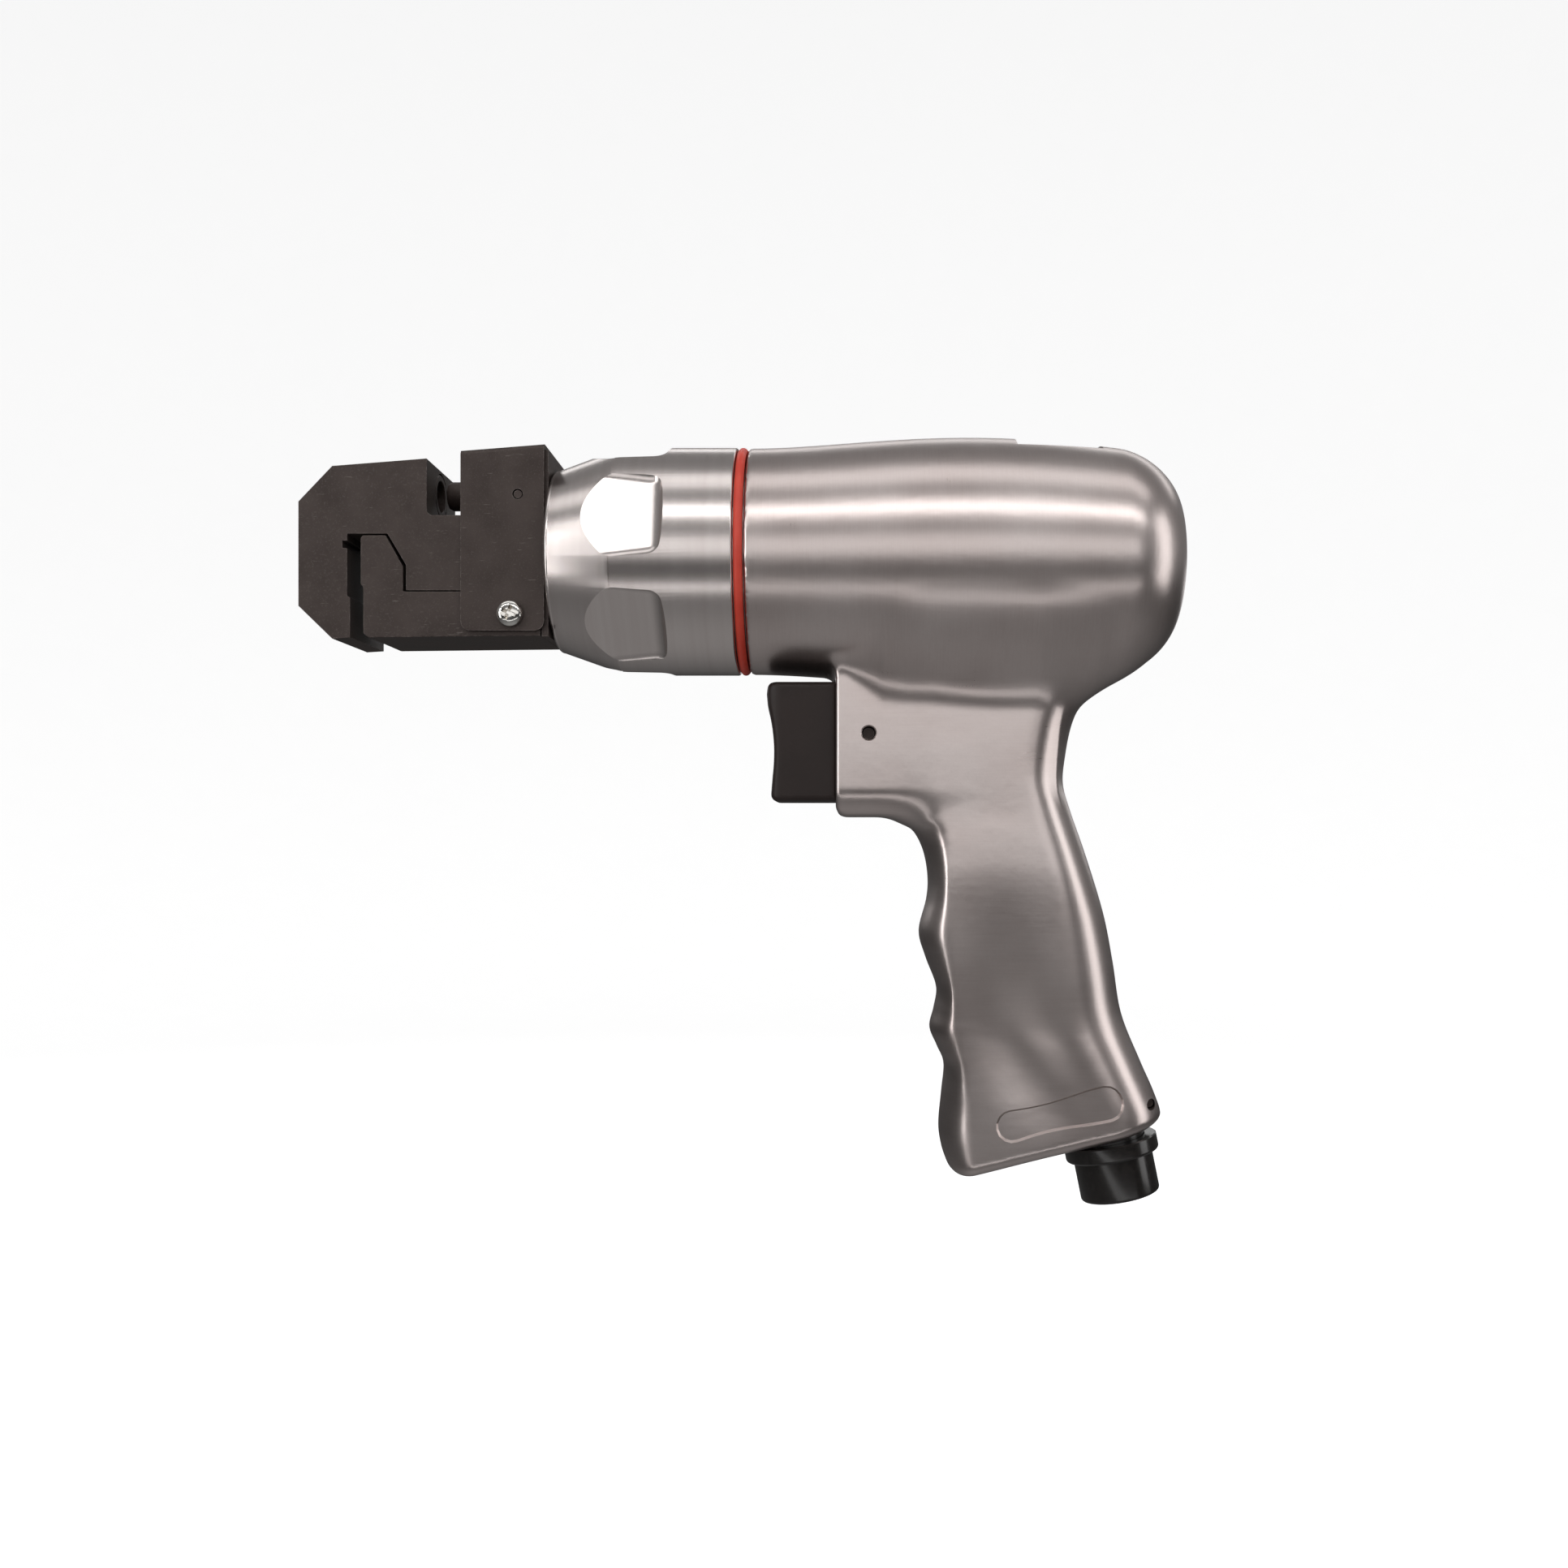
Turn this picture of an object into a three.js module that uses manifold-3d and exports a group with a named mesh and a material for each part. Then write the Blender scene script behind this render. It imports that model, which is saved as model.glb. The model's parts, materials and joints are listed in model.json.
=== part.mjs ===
// Pneumatic punch and flange gun, in millimetres.
// Origin: where the tool's axis meets the flat front of the punch head.
// +X runs along the axis to the rear, +Z is up and the grip points down, -Y is the side with the screw.
import * as THREE from "three";
import { mergeVertices } from "three/addons/utils/BufferGeometryUtils.js";
import Module from "manifold-3d";

const wasm = await Module();
wasm.setup();

// ---------------------------------------------------------------- driving dimensions
const GAP = 0.3;                 // between pieces that touch
const BIG = 200;                 // reach of a cutter that runs right out of its piece

const HEAD_HALF = 15;            // punch frame and jaw, half width in Y
const FRONT_TOP_Z = 14;          // top of the flat front face
const CHAMFER_X = 9.15;          // where both front chamfers end
const JAW_BOTTOM_Z = -22.8;
const TOP_LINE = { rise: 0.0787, z0: 22.9 };   // the frame's top face climbs to the rear
const WALL_BACK = 67.6;          // rear face of the frame's rear wall

const NOTCH = { front: 34.7, back: 44.5, floor: 10.3 };
const PUNCH_Z = 18.6;
const PUNCH_R = 4;
const SEAM_Z = -10;              // underside of the frame over the sliding jaw
const SLOT_X = 13.2;             // inner face of the fixed jaw
const COVER = { front: 44.2, back: 66.7, half: 16.5, sheet: 1.2, bottom: -21.1, over: 1.2 };
const SCREW = { x: 57.6, z: -16.5, r: 2, headR: 3.6, headH: 2.2 };
const COVER_PIN = { x: 59.6, z: 15.7, r: 1.1 };
const CAVITY = { front: 52, back: 62, half: 9.3 };   // where the pusher plate slides
const RAM_SPRING_R = 3.6;

const NECK_R = 20;
const NOSE = { front: 68.1, faceR: 25.1, coneEnd: 86, r: 31.3, back: 118.3 };
const FLAT = { distance: 28.4, front: 70, back: 95, firstAngle: 15.6, count: 6 };
const RING_BACK = 121;

const STROKE = 24;               // piston travel
const RISE = 5.2;                // each roller moves out by this much over the stroke
const RAM_TRAVEL = 3.2;          // and the ram forward by this much
const ROLLER = { x: 101.6, z: 7.3, r: 5, half: 8, pinR: 2, pinHalf: 13.4 };
const WEDGE = { tip: 99.6, halfTip: 1.6, half: 4 };
const ROD_R = 8.6;
const ROD_FULL_X = 129;          // the wedge runs out into the full rod here
const CYLINDER_R = 25.4;
const CYLINDER_END = 230;
const PISTON = { front: 208, back: 224, r: 25.1 };

const BODY = { front: 121.3, rear: 241.1 };
const HOUSING = { front: 145.2, bottom: -71.4, half: 14.5 };
const TRIGGER = { top: -34.1, bottom: -66.9, half: 10.2, back: 145.9, travel: 5 };
const VALVE_Z = -48.5;
const VALVE_R = 6.5;
const TRIGGER_PIN = { x: 154.2, r: 1.6 };
const GRIP_HALF = 17;
const BASE_TILT = 13.5;          // degrees, the grip's base climbs to the rear
const BASE_POINT = [207.4, 0, -163.2];
const PLAQUE = { x: 206, z: -151.5, length: 34, height: 7.7, depth: 0.7 };
const INLET = { x: 224.8, z: -176.5, tilt: 11.3 };   // centre of the inlet's end face
const INLET_BORE_R = 12;
const INLET_PIN = { x: 231.5, z: -149.9, r: 1.2 };

// ---------------------------------------------------------------- materials
const FINISHES = {
  cast: [0xa39a96, 0.42, 0.9],
  turned: [0xc4c0bb, 0.28, 0.95],
  blackSteel: [0x2b2624, 0.5, 0.7],
  toolSteel: [0x6f6b68, 0.32, 0.95],
  chrome: [0xdedede, 0.12, 1],
  brass: [0xb9965a, 0.35, 0.9],
  springSteel: [0x8c8884, 0.3, 0.95],
  rubber: [0x1b1a19, 0.8, 0],
  blackPlastic: [0x2a2523, 0.55, 0],
  glossBlack: [0x1c1817, 0.25, 0.3],
  red: [0xb23a2c, 0.45, 0],
  felt: [0x8f8a80, 0.95, 0],
};

// ---------------------------------------------------------------- shape helpers
const v2 = (x, y) => new THREE.Vector2(x, y);
const degrees = THREE.MathUtils.degToRad;
const circlePoint = (r, a) => v2(r * Math.cos(a), r * Math.sin(a));

// A closed three.js geometry as a solid, its faces turned outwards.
function solid(geometry) {
  geometry.deleteAttribute("normal");
  geometry.deleteAttribute("uv");
  const merged = mergeVertices(geometry, 1e-4);
  const points = Float32Array.from(merged.attributes.position.array);
  const index = merged.index.array;
  const corners = [];
  let volume = 0;
  for (let i = 0; i < index.length; i += 3) {
    const [a, b, c] = [index[i], index[i + 1], index[i + 2]];
    if (a === b || b === c || a === c) continue;
    corners.push(a, b, c);
    const [p, q, r] = [a, b, c].map((n) => new THREE.Vector3().fromArray(points, 3 * n));
    volume += p.dot(q.cross(r));
  }
  if (volume < 0) corners.reverse();
  const mesh = new wasm.Mesh({ numProp: 3, vertProperties: points, triVerts: Uint32Array.from(corners) });
  mesh.merge();
  return new wasm.Manifold(mesh);
}

const cut = (body, ...tools) => tools.reduce((left, tool) => left.subtract(tool), body);
const join = (body, ...others) => others.reduce((all, other) => all.add(other), body);

function box(x0, x1, y0, y1, z0, z1) {
  const geometry = new THREE.BoxGeometry(x1 - x0, y1 - y0, z1 - z0);
  return solid(geometry.translate((x0 + x1) / 2, (y0 + y1) / 2, (z0 + z1) / 2));
}

// An outline in X and Z, extruded evenly to both sides of the middle plane.
function plate(outline, half, middle = 0) {
  const drawn = outline instanceof THREE.Shape;
  const shape = drawn ? outline : new THREE.Shape(outline.map(([x, z]) => v2(x, z)));
  const options = { depth: 2 * half, bevelEnabled: false, curveSegments: 6 };
  const geometry = new THREE.ExtrudeGeometry(shape, options);
  return solid(geometry.rotateX(Math.PI / 2).translate(0, half + middle, 0));
}

// A turned piece about an axis along X, from a list of [x, radius] that starts and ends on the axis.
function turned(profile, { y = 0, z = 0, segments = 24 } = {}) {
  const geometry = new THREE.LatheGeometry(profile.map(([x, r]) => v2(r, x)), segments);
  return solid(geometry.rotateZ(-Math.PI / 2).translate(0, y, z));
}

const rodX = (x0, x1, r, place) => turned([[x0, 0], [x0, r], [x1, r], [x1, 0]], place);

// A hollow turned piece: the profile of its wall closes on itself.
function ring(x0, x1, inner, outer, place) {
  return turned([[x0, inner], [x0, outer], [x1, outer], [x1, inner], [x0, inner]], place);
}

function rodY(x, z, r, y0, y1, segments = 16) {
  const geometry = new THREE.CylinderGeometry(r, r, y1 - y0, segments);
  return solid(geometry.translate(x, (y0 + y1) / 2, z));
}

// A turned piece about its own Z axis, for the inlet's tilted stack.
function stacked(profile, segments = 24) {
  const geometry = new THREE.LatheGeometry(profile.map(([z, r]) => v2(r, z)), segments);
  return solid(geometry.rotateX(Math.PI / 2));
}

const stackedRing = (z0, z1, inner, outer, segments) =>
  stacked([[z0, inner], [z0, outer], [z1, outer], [z1, inner], [z0, inner]], segments);

// From the inlet's own frame, whose +Z runs up into the grip, to the tool's frame.
const toTool = (body) => body.rotate([0, -INLET.tilt, 0]).translate([INLET.x, 0, INLET.z]);

// A coil spring of round wire whose axis runs along X.
function coil(x0, x1, meanR, wireR, turns, { z = 0, steps = 10, sides = 6 } = {}) {
  class Helix extends THREE.Curve {
    getPoint(t) {
      const angle = 2 * Math.PI * turns * t;
      const x = x0 + wireR + t * (x1 - x0 - 2 * wireR);
      return new THREE.Vector3(x, meanR * Math.cos(angle), z + meanR * Math.sin(angle));
    }
  }
  const wire = new THREE.Shape(Array.from({ length: sides }, (_, i) =>
    circlePoint(wireR, (2 * Math.PI * i) / sides)));
  const options = { steps: turns * steps, extrudePath: new Helix(), bevelEnabled: false };
  return solid(new THREE.ExtrudeGeometry(wire, options));
}

// A skin through rings of equal size, one above the other, closed with a flat cap at each end.
function loft(rings) {
  const around = rings[0].length;
  const positions = rings.flat().flatMap((p) => [p.x, p.y, p.z]);
  const index = [];
  for (let level = 0; level + 1 < rings.length; level += 1) {
    for (let i = 0; i < around; i += 1) {
      const a = level * around + i;
      const b = level * around + ((i + 1) % around);
      index.push(a, b, a + around, b, b + around, a + around);
    }
  }
  const last = (rings.length - 1) * around;
  for (let i = 1; i + 1 < around; i += 1) {
    index.push(0, i + 1, i, last, last + i, last + i + 1);
  }
  const geometry = new THREE.BufferGeometry();
  geometry.setAttribute("position", new THREE.Float32BufferAttribute(positions, 3));
  geometry.setIndex(index);
  return solid(geometry);
}

// ---------------------------------------------------------------- the scene graph
const group = new THREE.Group();
const inletStack = new THREE.Group();
inletStack.position.set(INLET.x, 0, INLET.z);
inletStack.rotation.y = -degrees(INLET.tilt);
group.add(inletStack);

function addTo(parent, name, body, finish) {
  const { vertProperties, triVerts, numProp } = body.getMesh();
  const positions = [];
  for (let i = 0; i < vertProperties.length; i += numProp) {
    positions.push(vertProperties[i], vertProperties[i + 1], vertProperties[i + 2]);
  }
  const geometry = new THREE.BufferGeometry();
  geometry.setAttribute("position", new THREE.Float32BufferAttribute(positions, 3));
  geometry.setIndex(Array.from(triVerts));
  geometry.computeVertexNormals();
  const [color, roughness, metalness] = FINISHES[finish];
  const mesh = new THREE.Mesh(geometry, new THREE.MeshStandardMaterial({ color, roughness, metalness }));
  mesh.name = name;
  parent.add(mesh);
}

const add = (name, body, finish) => addTo(group, name, body, finish);

// ---------------------------------------------------------------- punch head
const topLine = (x) => TOP_LINE.z0 + TOP_LINE.rise * x;

function punchFrame() {
  const outline = [
    [0, -14.2], [0, FRONT_TOP_Z], [CHAMFER_X, topLine(CHAMFER_X)],
    [NOTCH.front, topLine(NOTCH.front)], [NOTCH.front, NOTCH.floor + 1], [NOTCH.front + 1, NOTCH.floor],
    [NOTCH.back, NOTCH.floor], [NOTCH.back, topLine(NOTCH.back) - GAP],
    [WALL_BACK, topLine(WALL_BACK) - GAP], [WALL_BACK, JAW_BOTTOM_Z + GAP], [65.8, JAW_BOTTOM_Z + GAP],
    [65.8, SEAM_Z], [29.1, SEAM_Z], [29.1, -3.2], [24.1, 5.3],
    [SLOT_X, 5.3], [SLOT_X, 3.4], [11.9, 3.4], [11.9, 1.5], [SLOT_X, 1.3],
    [SLOT_X, -11.5], [14, -12], [14, JAW_BOTTOM_Z], [CHAMFER_X, -23.1],
  ];
  const frame = plate(outline, HEAD_HALF);
  const round = { segments: 36 };
  const neck = join(rodX(WALL_BACK - 0.5, 72.3, NECK_R, round), rodX(72.1, 75.6, 22.5, round));
  const punchAxis = { z: PUNCH_Z };
  const pinHole = rodY(COVER_PIN.x, COVER_PIN.z, COVER_PIN.r + GAP, 10, HEAD_HALF + 0.8);
  return cut(
    join(frame, neck),
    box(CAVITY.front, CAVITY.back, -CAVITY.half, CAVITY.half, SEAM_Z - 1, BIG),
    rodX(CAVITY.back - 1, 76, 8.4),
    rodX(41, CAVITY.front + 1, 4.9),
    rodX(NOTCH.back - 1, CAVITY.front + 1, 6.8, punchAxis),
    rodX(28.4, NOTCH.front + 1, 6.3, punchAxis),
    rodX(-1, 29, 4.3, punchAxis),
    pinHole,
    pinHole.mirror([0, 1, 0]),
  );
}

function dieButton() {
  return ring(28.7, NOTCH.front, 4.3, 6, { z: PUNCH_Z });
}

function punch() {
  const profile = [
    [37, 0], [37, PUNCH_R - 0.6], [37.8, PUNCH_R], [58.8, PUNCH_R],
    [58.8, 4.9], [61.4, 4.9], [61.4, 0],
  ];
  return turned(profile, { z: PUNCH_Z });
}

function pusherPlate() {
  const body = box(55.8, 61.6, -9, 9, -12.9, 25);
  const seat = { z: PUNCH_Z };
  return cut(body, rodX(55, 62, PUNCH_R + GAP, seat), rodX(58.5, 62, 5.2, seat));
}

function flangeJaw() {
  const outline = [
    [16.8, -8.4], [16.8, 4.2], [17.4, 4.9], [23.6, 4.9], [28.3, -3.5], [28.3, SEAM_Z - GAP],
    [65.4, SEAM_Z - GAP], [65.4, JAW_BOTTOM_Z + 0.5], [19, JAW_BOTTOM_Z], [17.5, JAW_BOTTOM_Z + 1.2],
    [17.5, -9],
  ];
  const jaw = plate(outline, HEAD_HALF);
  const screwSlot = join(
    rodY(SCREW.x, SCREW.z, SCREW.r + 0.4, -BIG, BIG),
    rodY(SCREW.x + RAM_TRAVEL, SCREW.z, SCREW.r + 0.4, -BIG, BIG),
    box(SCREW.x, SCREW.x + RAM_TRAVEL, -BIG, BIG, SCREW.z - SCREW.r - 0.4, SCREW.z + SCREW.r + 0.4),
  );
  return cut(jaw, box(55.5, 61.9, -CAVITY.half, CAVITY.half, -13.2, SEAM_Z + 1), screwSlot);
}

function coverPlate() {
  const top = (x, drop) => topLine(x) + COVER.over - drop;
  const side = [
    [COVER.front, COVER.bottom + 1], [COVER.front, top(COVER.front, 0)],
    [COVER.back, top(COVER.back, 0)], [COVER.back, COVER.bottom + 1],
    [COVER.back - 1, COVER.bottom], [COVER.front + 1, COVER.bottom],
  ];
  const inside = [
    [COVER.front - 1, COVER.bottom - 1], [COVER.front - 1, top(COVER.front - 1, COVER.sheet)],
    [COVER.back + 1, top(COVER.back + 1, COVER.sheet)], [COVER.back + 1, COVER.bottom - 1],
  ];
  const bend = 1.6;
  const bends = [-1, 1].map((s) => {
    const corner = box(COVER.front - 1, COVER.back + 1, -bend / 2, bend / 2, -bend / 2, bend / 2);
    const climb = THREE.MathUtils.radToDeg(Math.atan(TOP_LINE.rise));
    const middle = (COVER.front + COVER.back) / 2;
    return corner.translate([-middle, 0, 0]).rotate([45, 0, 0]).rotate([0, -climb, 0])
      .translate([middle, s * COVER.half, top(middle, 0)]);
  });
  return cut(
    plate(side, COVER.half),
    plate(inside, COVER.half - COVER.sheet),
    rodY(SCREW.x, SCREW.z, SCREW.r + GAP, -BIG, BIG),
    rodY(COVER_PIN.x, COVER_PIN.z, COVER_PIN.r + GAP, -BIG, BIG),
    ...bends,
  );
}

function coverScrew() {
  const face = -COVER.half - GAP;
  const head = rodY(SCREW.x, SCREW.z, SCREW.headR, face - SCREW.headH, face, 20);
  const shank = rodY(SCREW.x, SCREW.z, SCREW.r, face - 0.5, COVER.half + 3.4);
  const arm = 0.55;
  const reach = 2;
  const recess = [0, 90].map((turn) =>
    box(-reach, reach, face - SCREW.headH - 1, face - 0.8, -arm, arm).rotate([0, turn + 22, 0])
      .translate([SCREW.x, 0, SCREW.z]));
  return cut(join(head, shank), ...recess);
}

function coverNut() {
  const face = COVER.half + GAP;
  const body = rodY(SCREW.x, SCREW.z, 4, face, face + 3.2, 6);
  return cut(body, rodY(SCREW.x, SCREW.z, SCREW.r + GAP, 0, BIG));
}

function head() {
  add("punch_frame", punchFrame(), "blackSteel");
  add("die_button", dieButton(), "toolSteel");
  add("punch", punch(), "toolSteel");
  const guide = ring(NOTCH.back + 0.2, CAVITY.front - GAP, PUNCH_R + GAP, 6.5, { z: PUNCH_Z });
  add("punch_guide_bush", guide, "brass");
  add("pusher_plate", pusherPlate(), "toolSteel");
  add("flange_jaw", flangeJaw(), "blackSteel");
  add("ram_return_spring", coil(41.3, 55.5, RAM_SPRING_R, 0.6, 5, { steps: 8 }), "springSteel");
  add("cover_plate", coverPlate(), "blackSteel");
  add("cover_screw", coverScrew(), "chrome");
  add("cover_screw_nut", coverNut(), "chrome");
  const sides = { near: -1, far: 1 };
  for (const [name, side] of Object.entries(sides)) {
    const [inner, outer] = [10.2 * side, 16.2 * side].sort((a, b) => a - b);
    add(`cover_pin_${name}`, rodY(COVER_PIN.x, COVER_PIN.z, COVER_PIN.r, inner, outer, 12), "toolSteel");
  }
}

// ---------------------------------------------------------------- nose
function noseCap() {
  const profile = [
    [NOSE.front, NECK_R + 0.4], [NOSE.front, NOSE.faceR - 0.8], [NOSE.front + 0.8, NOSE.faceR],
    [NOSE.coneEnd, NOSE.r - 0.3], [NOSE.coneEnd + 1, NOSE.r],
    [NOSE.back - 0.5, NOSE.r], [NOSE.back, NOSE.r - 0.5],
    [NOSE.back, 28.3], [106.7, 28.3], [106.7, 25.5], [76.2, 25.5], [76.2, 22.9], [71.8, 22.9],
    [71.8, NECK_R + 0.4], [NOSE.front, NECK_R + 0.4],
  ];
  const cap = turned(profile, { segments: 48 });
  const across = 20;
  const beyond = NOSE.r + 5;
  const flatOutline = [
    [FLAT.front, FLAT.distance], [FLAT.back, FLAT.distance], [FLAT.back + 3, FLAT.distance + 0.8],
    [FLAT.back + 5.8, NOSE.r + 0.3], [FLAT.back + 5.8, beyond], [FLAT.front, beyond],
  ];
  const flats = Array.from({ length: FLAT.count }, (_, i) => {
    const angle = FLAT.firstAngle + 90 + (360 / FLAT.count) * i;
    return plate(flatOutline, across).rotate([angle, 0, 0]);
  });
  return cut(cap, ...flats);
}

function ram() {
  const slope = RAM_TRAVEL / RISE;
  const rear = (z) => 97.21 + slope * (z - 10);
  const slotHalf = 7.5;
  const blockTop = 20;
  const block = [
    [83, -blockTop], [83, blockTop], [rear(blockTop), blockTop], [rear(slotHalf), slotHalf],
    [rear(slotHalf), -slotHalf], [rear(blockTop), -blockTop],
  ];
  return cut(
    join(rodX(61.9, 81, 8), rodX(80, 84, 24.8, { segments: 36 }), plate(block, 8.4)),
    box(78, 85, -4.8, 4.8, -4, 4),
    box(84, BIG, -4.8, 4.8, -slotHalf, slotHalf),
  );
}

function thrustCage() {
  const low = ROLLER.z - ROLLER.pinR - GAP;
  const high = ROLLER.z + RISE + ROLLER.pinR + GAP;
  const slotHalf = ROLLER.pinR + GAP;
  const cheeks = [-1, 1].map((side) => box(94, 108, 11.5 * side - 2.5, 11.5 * side + 2.5, -20, 20));
  const slots = [[low, high], [-high, -low]].map(([z0, z1]) =>
    box(ROLLER.x - slotHalf, ROLLER.x + slotHalf, -BIG, BIG, z0, z1));
  return cut(
    join(rodX(107, 113.7, 27.9, { segments: 36 }), ...cheeks),
    rodX(106, 115, ROD_R + 0.2),
    ...slots,
  );
}

function wedgeRod() {
  const slope = RISE / STROKE;
  const halfAt = (x) => WEDGE.halfTip + slope * (x - WEDGE.tip);
  const full = ROD_R + 0.5;
  const fullX = WEDGE.tip + (full - WEDGE.halfTip) / slope;
  const wedge = [
    [WEDGE.tip, -WEDGE.halfTip], [WEDGE.tip, WEDGE.halfTip], [fullX, halfAt(fullX)],
    [fullX, -halfAt(fullX)],
  ];
  const blade = plate(wedge, WEDGE.half).intersect(rodX(WEDGE.tip - 1, fullX, ROD_R));
  const stud = 5;
  const shaft = turned([
    [ROD_FULL_X, 0], [ROD_FULL_X, ROD_R], [PISTON.front - GAP, ROD_R], [PISTON.front - GAP, stud],
    [229.4, stud], [229.4, 0],
  ]);
  return join(blade, shaft);
}

function nose() {
  add("nose_cap", noseCap(), "turned");
  add("seal_ring", ring(NOSE.back + GAP, RING_BACK, 28.3, NOSE.r, { segments: 48 }), "red");
  add("ram", ram(), "toolSteel");
  add("thrust_cage", thrustCage(), "toolSteel");
  for (const [name, side] of [["top", 1], ["bottom", -1]]) {
    const z = side * ROLLER.z;
    const roller = cut(
      rodY(ROLLER.x, z, ROLLER.r, -ROLLER.half, ROLLER.half, 24),
      rodY(ROLLER.x, z, ROLLER.pinR + GAP, -BIG, BIG),
    );
    add(`roller_${name}`, roller, "toolSteel");
    add(`roller_pin_${name}`, rodY(ROLLER.x, z, ROLLER.pinR, -ROLLER.pinHalf, ROLLER.pinHalf), "toolSteel");
  }
}

// ---------------------------------------------------------------- cylinder
function piston() {
  const grooveR = 21.5;
  return turned([
    [PISTON.front, 5.3], [PISTON.front, PISTON.r], [213, PISTON.r], [213, grooveR], [219, grooveR],
    [219, PISTON.r], [PISTON.back, PISTON.r], [PISTON.back, 5.3], [PISTON.front, 5.3],
  ], { segments: 36 });
}

function pistonNut() {
  const hexagon = new THREE.CylinderGeometry(7.5, 7.5, 4.6, 6);
  const nut = solid(hexagon.rotateZ(Math.PI / 2).translate(226.6, 0, 0));
  return cut(nut, rodX(223, 231, 5.3));
}

function cylinder() {
  add("front_bulkhead", ring(114.3, 123.7, 11, 25.1, { segments: 36 }), "turned");
  add("rod_bush", ring(114.3, 123.7, ROD_R + 0.2, 10.7), "brass");
  add("wedge_rod", wedgeRod(), "toolSteel");
  add("piston", piston(), "turned");
  add("piston_seal", ring(213.3, 218.7, 21.8, 25.1, { segments: 36 }), "rubber");
  add("piston_nut", pistonNut(), "toolSteel");
  add("piston_return_spring", coil(124, PISTON.front - GAP, 14, 1.5, 7), "springSteel");
  add("rear_bumper", ring(PISTON.back + GAP, CYLINDER_END - GAP, 13, 20), "rubber");
}

// ---------------------------------------------------------------- body housing
function barrel() {
  const domeR = 14;
  const domeSteps = 5;
  const dome = Array.from({ length: domeSteps + 1 }, (_, i) => {
    const angle = (Math.PI / 2) * (i / domeSteps);
    return [BODY.rear - domeR + domeR * Math.sin(angle), 15.9 + domeR * Math.cos(angle)];
  });
  const crest = [v2(124, 31.1), v2(145, 32.2), v2(180, 34), v2(205, 33), v2(224, 31)];
  const belly = new THREE.SplineCurve(crest);
  const side = belly.getPoints(6).map((p) => [p.x, p.y]);
  return turned([
    [114, 0], [114, 28], [BODY.front, 28], [BODY.front, 30.3], [BODY.front + 0.8, 31.1],
    ...side, ...dome, [BODY.rear, 0],
  ], { segments: 48 });
}

// Front and back edges of the grip, each from the top down, as points of (height, x).
const GRIP_FRONT = new THREE.SplineCurve([
  v2(-30, 160), v2(-66, 160), v2(-71.6, 161.5), v2(-75.5, 167.2), v2(-81.6, 169.9), v2(-87.7, 170.8),
  v2(-94, 170.4), v2(-103, 168.2), v2(-110.2, 170.2), v2(-118.4, 173.3), v2(-124.5, 172.4), v2(-129.5, 171.2),
  v2(-134.8, 173.3), v2(-140, 175.4), v2(-149, 174.5), v2(-157, 173.8), v2(-165, 174.6), v2(-174, 180),
]);
const GRIP_BACK = new THREE.SplineCurve([
  v2(-24, 233), v2(-32.5, 224), v2(-40.5, 213.3), v2(-45.9, 210.8), v2(-54.1, 209.2), v2(-62.3, 208.5),
  v2(-71.4, 211.3), v2(-81.4, 214.7), v2(-97.7, 219.7), v2(-111.4, 222.4), v2(-125, 224.6), v2(-138.6, 229.9),
  v2(-152.3, 235.6), v2(-156, 235.6), v2(-162, 234), v2(-174, 231),
]);

// A function that reads the x of such a curve at a given height.
function edgeReader(curve) {
  const samples = curve.getPoints(300);
  return (height) => {
    const below = Math.max(1, samples.findIndex((p) => p.x <= height));
    const [p, q] = [samples[below - 1], samples[below]];
    return THREE.MathUtils.mapLinear(height, p.x, q.x, p.y, q.y);
  };
}

function grip() {
  const front = edgeReader(GRIP_FRONT);
  const back = edgeReader(GRIP_BACK);
  const levels = 26;
  const around = 20;
  const [top, bottom] = [-25, -173];
  const squareness = 0.62;
  const rounded = (value) => Math.sign(value) * Math.abs(value) ** squareness;
  return loft(Array.from({ length: levels + 1 }, (_, level) => {
    const z = THREE.MathUtils.lerp(top, bottom, level / levels);
    const middle = (front(z) + back(z)) / 2;
    const reach = (back(z) - front(z)) / 2;
    return Array.from({ length: around }, (_, i) => {
      const angle = (2 * Math.PI * (i + 0.5)) / around;
      const x = middle + reach * rounded(Math.cos(angle)) / rounded(Math.cos(Math.PI / around));
      return new THREE.Vector3(x, GRIP_HALF * rounded(Math.sin(angle)), z);
    });
  }));
}

function triggerHousing() {
  const [x0, x1, z0, z1, r] = [HOUSING.front, 190, HOUSING.bottom, -24, 4];
  const shape = new THREE.Shape();
  shape.moveTo(x0, z1).lineTo(x0, z0 + r).absarc(x0 + r, z0 + r, r, Math.PI, 1.5 * Math.PI, false);
  shape.lineTo(x1, z0).lineTo(x1, z1).closePath();
  const bevel = 2.5;
  const options = {
    depth: 2 * (HOUSING.half - bevel), bevelThickness: bevel, bevelSize: bevel, bevelOffset: -bevel,
    bevelSegments: 3, curveSegments: 5,
  };
  const geometry = new THREE.ExtrudeGeometry(shape, options);
  return solid(geometry.rotateX(Math.PI / 2).translate(0, HOUSING.half - bevel, 0));
}

function stadiumRecess() {
  const [half, r] = [PLAQUE.length / 2 - PLAQUE.height / 2, PLAQUE.height / 2];
  const shape = new THREE.Shape();
  shape.moveTo(-half, -r).lineTo(half, -r).absarc(half, 0, r, -Math.PI / 2, Math.PI / 2, false);
  shape.lineTo(-half, r).absarc(-half, 0, r, Math.PI / 2, 1.5 * Math.PI, false);
  return plate(shape, 2, -GRIP_HALF - 2 + PLAQUE.depth).rotate([0, -BASE_TILT, 0])
    .translate([PLAQUE.x, 0, PLAQUE.z]);
}

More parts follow.
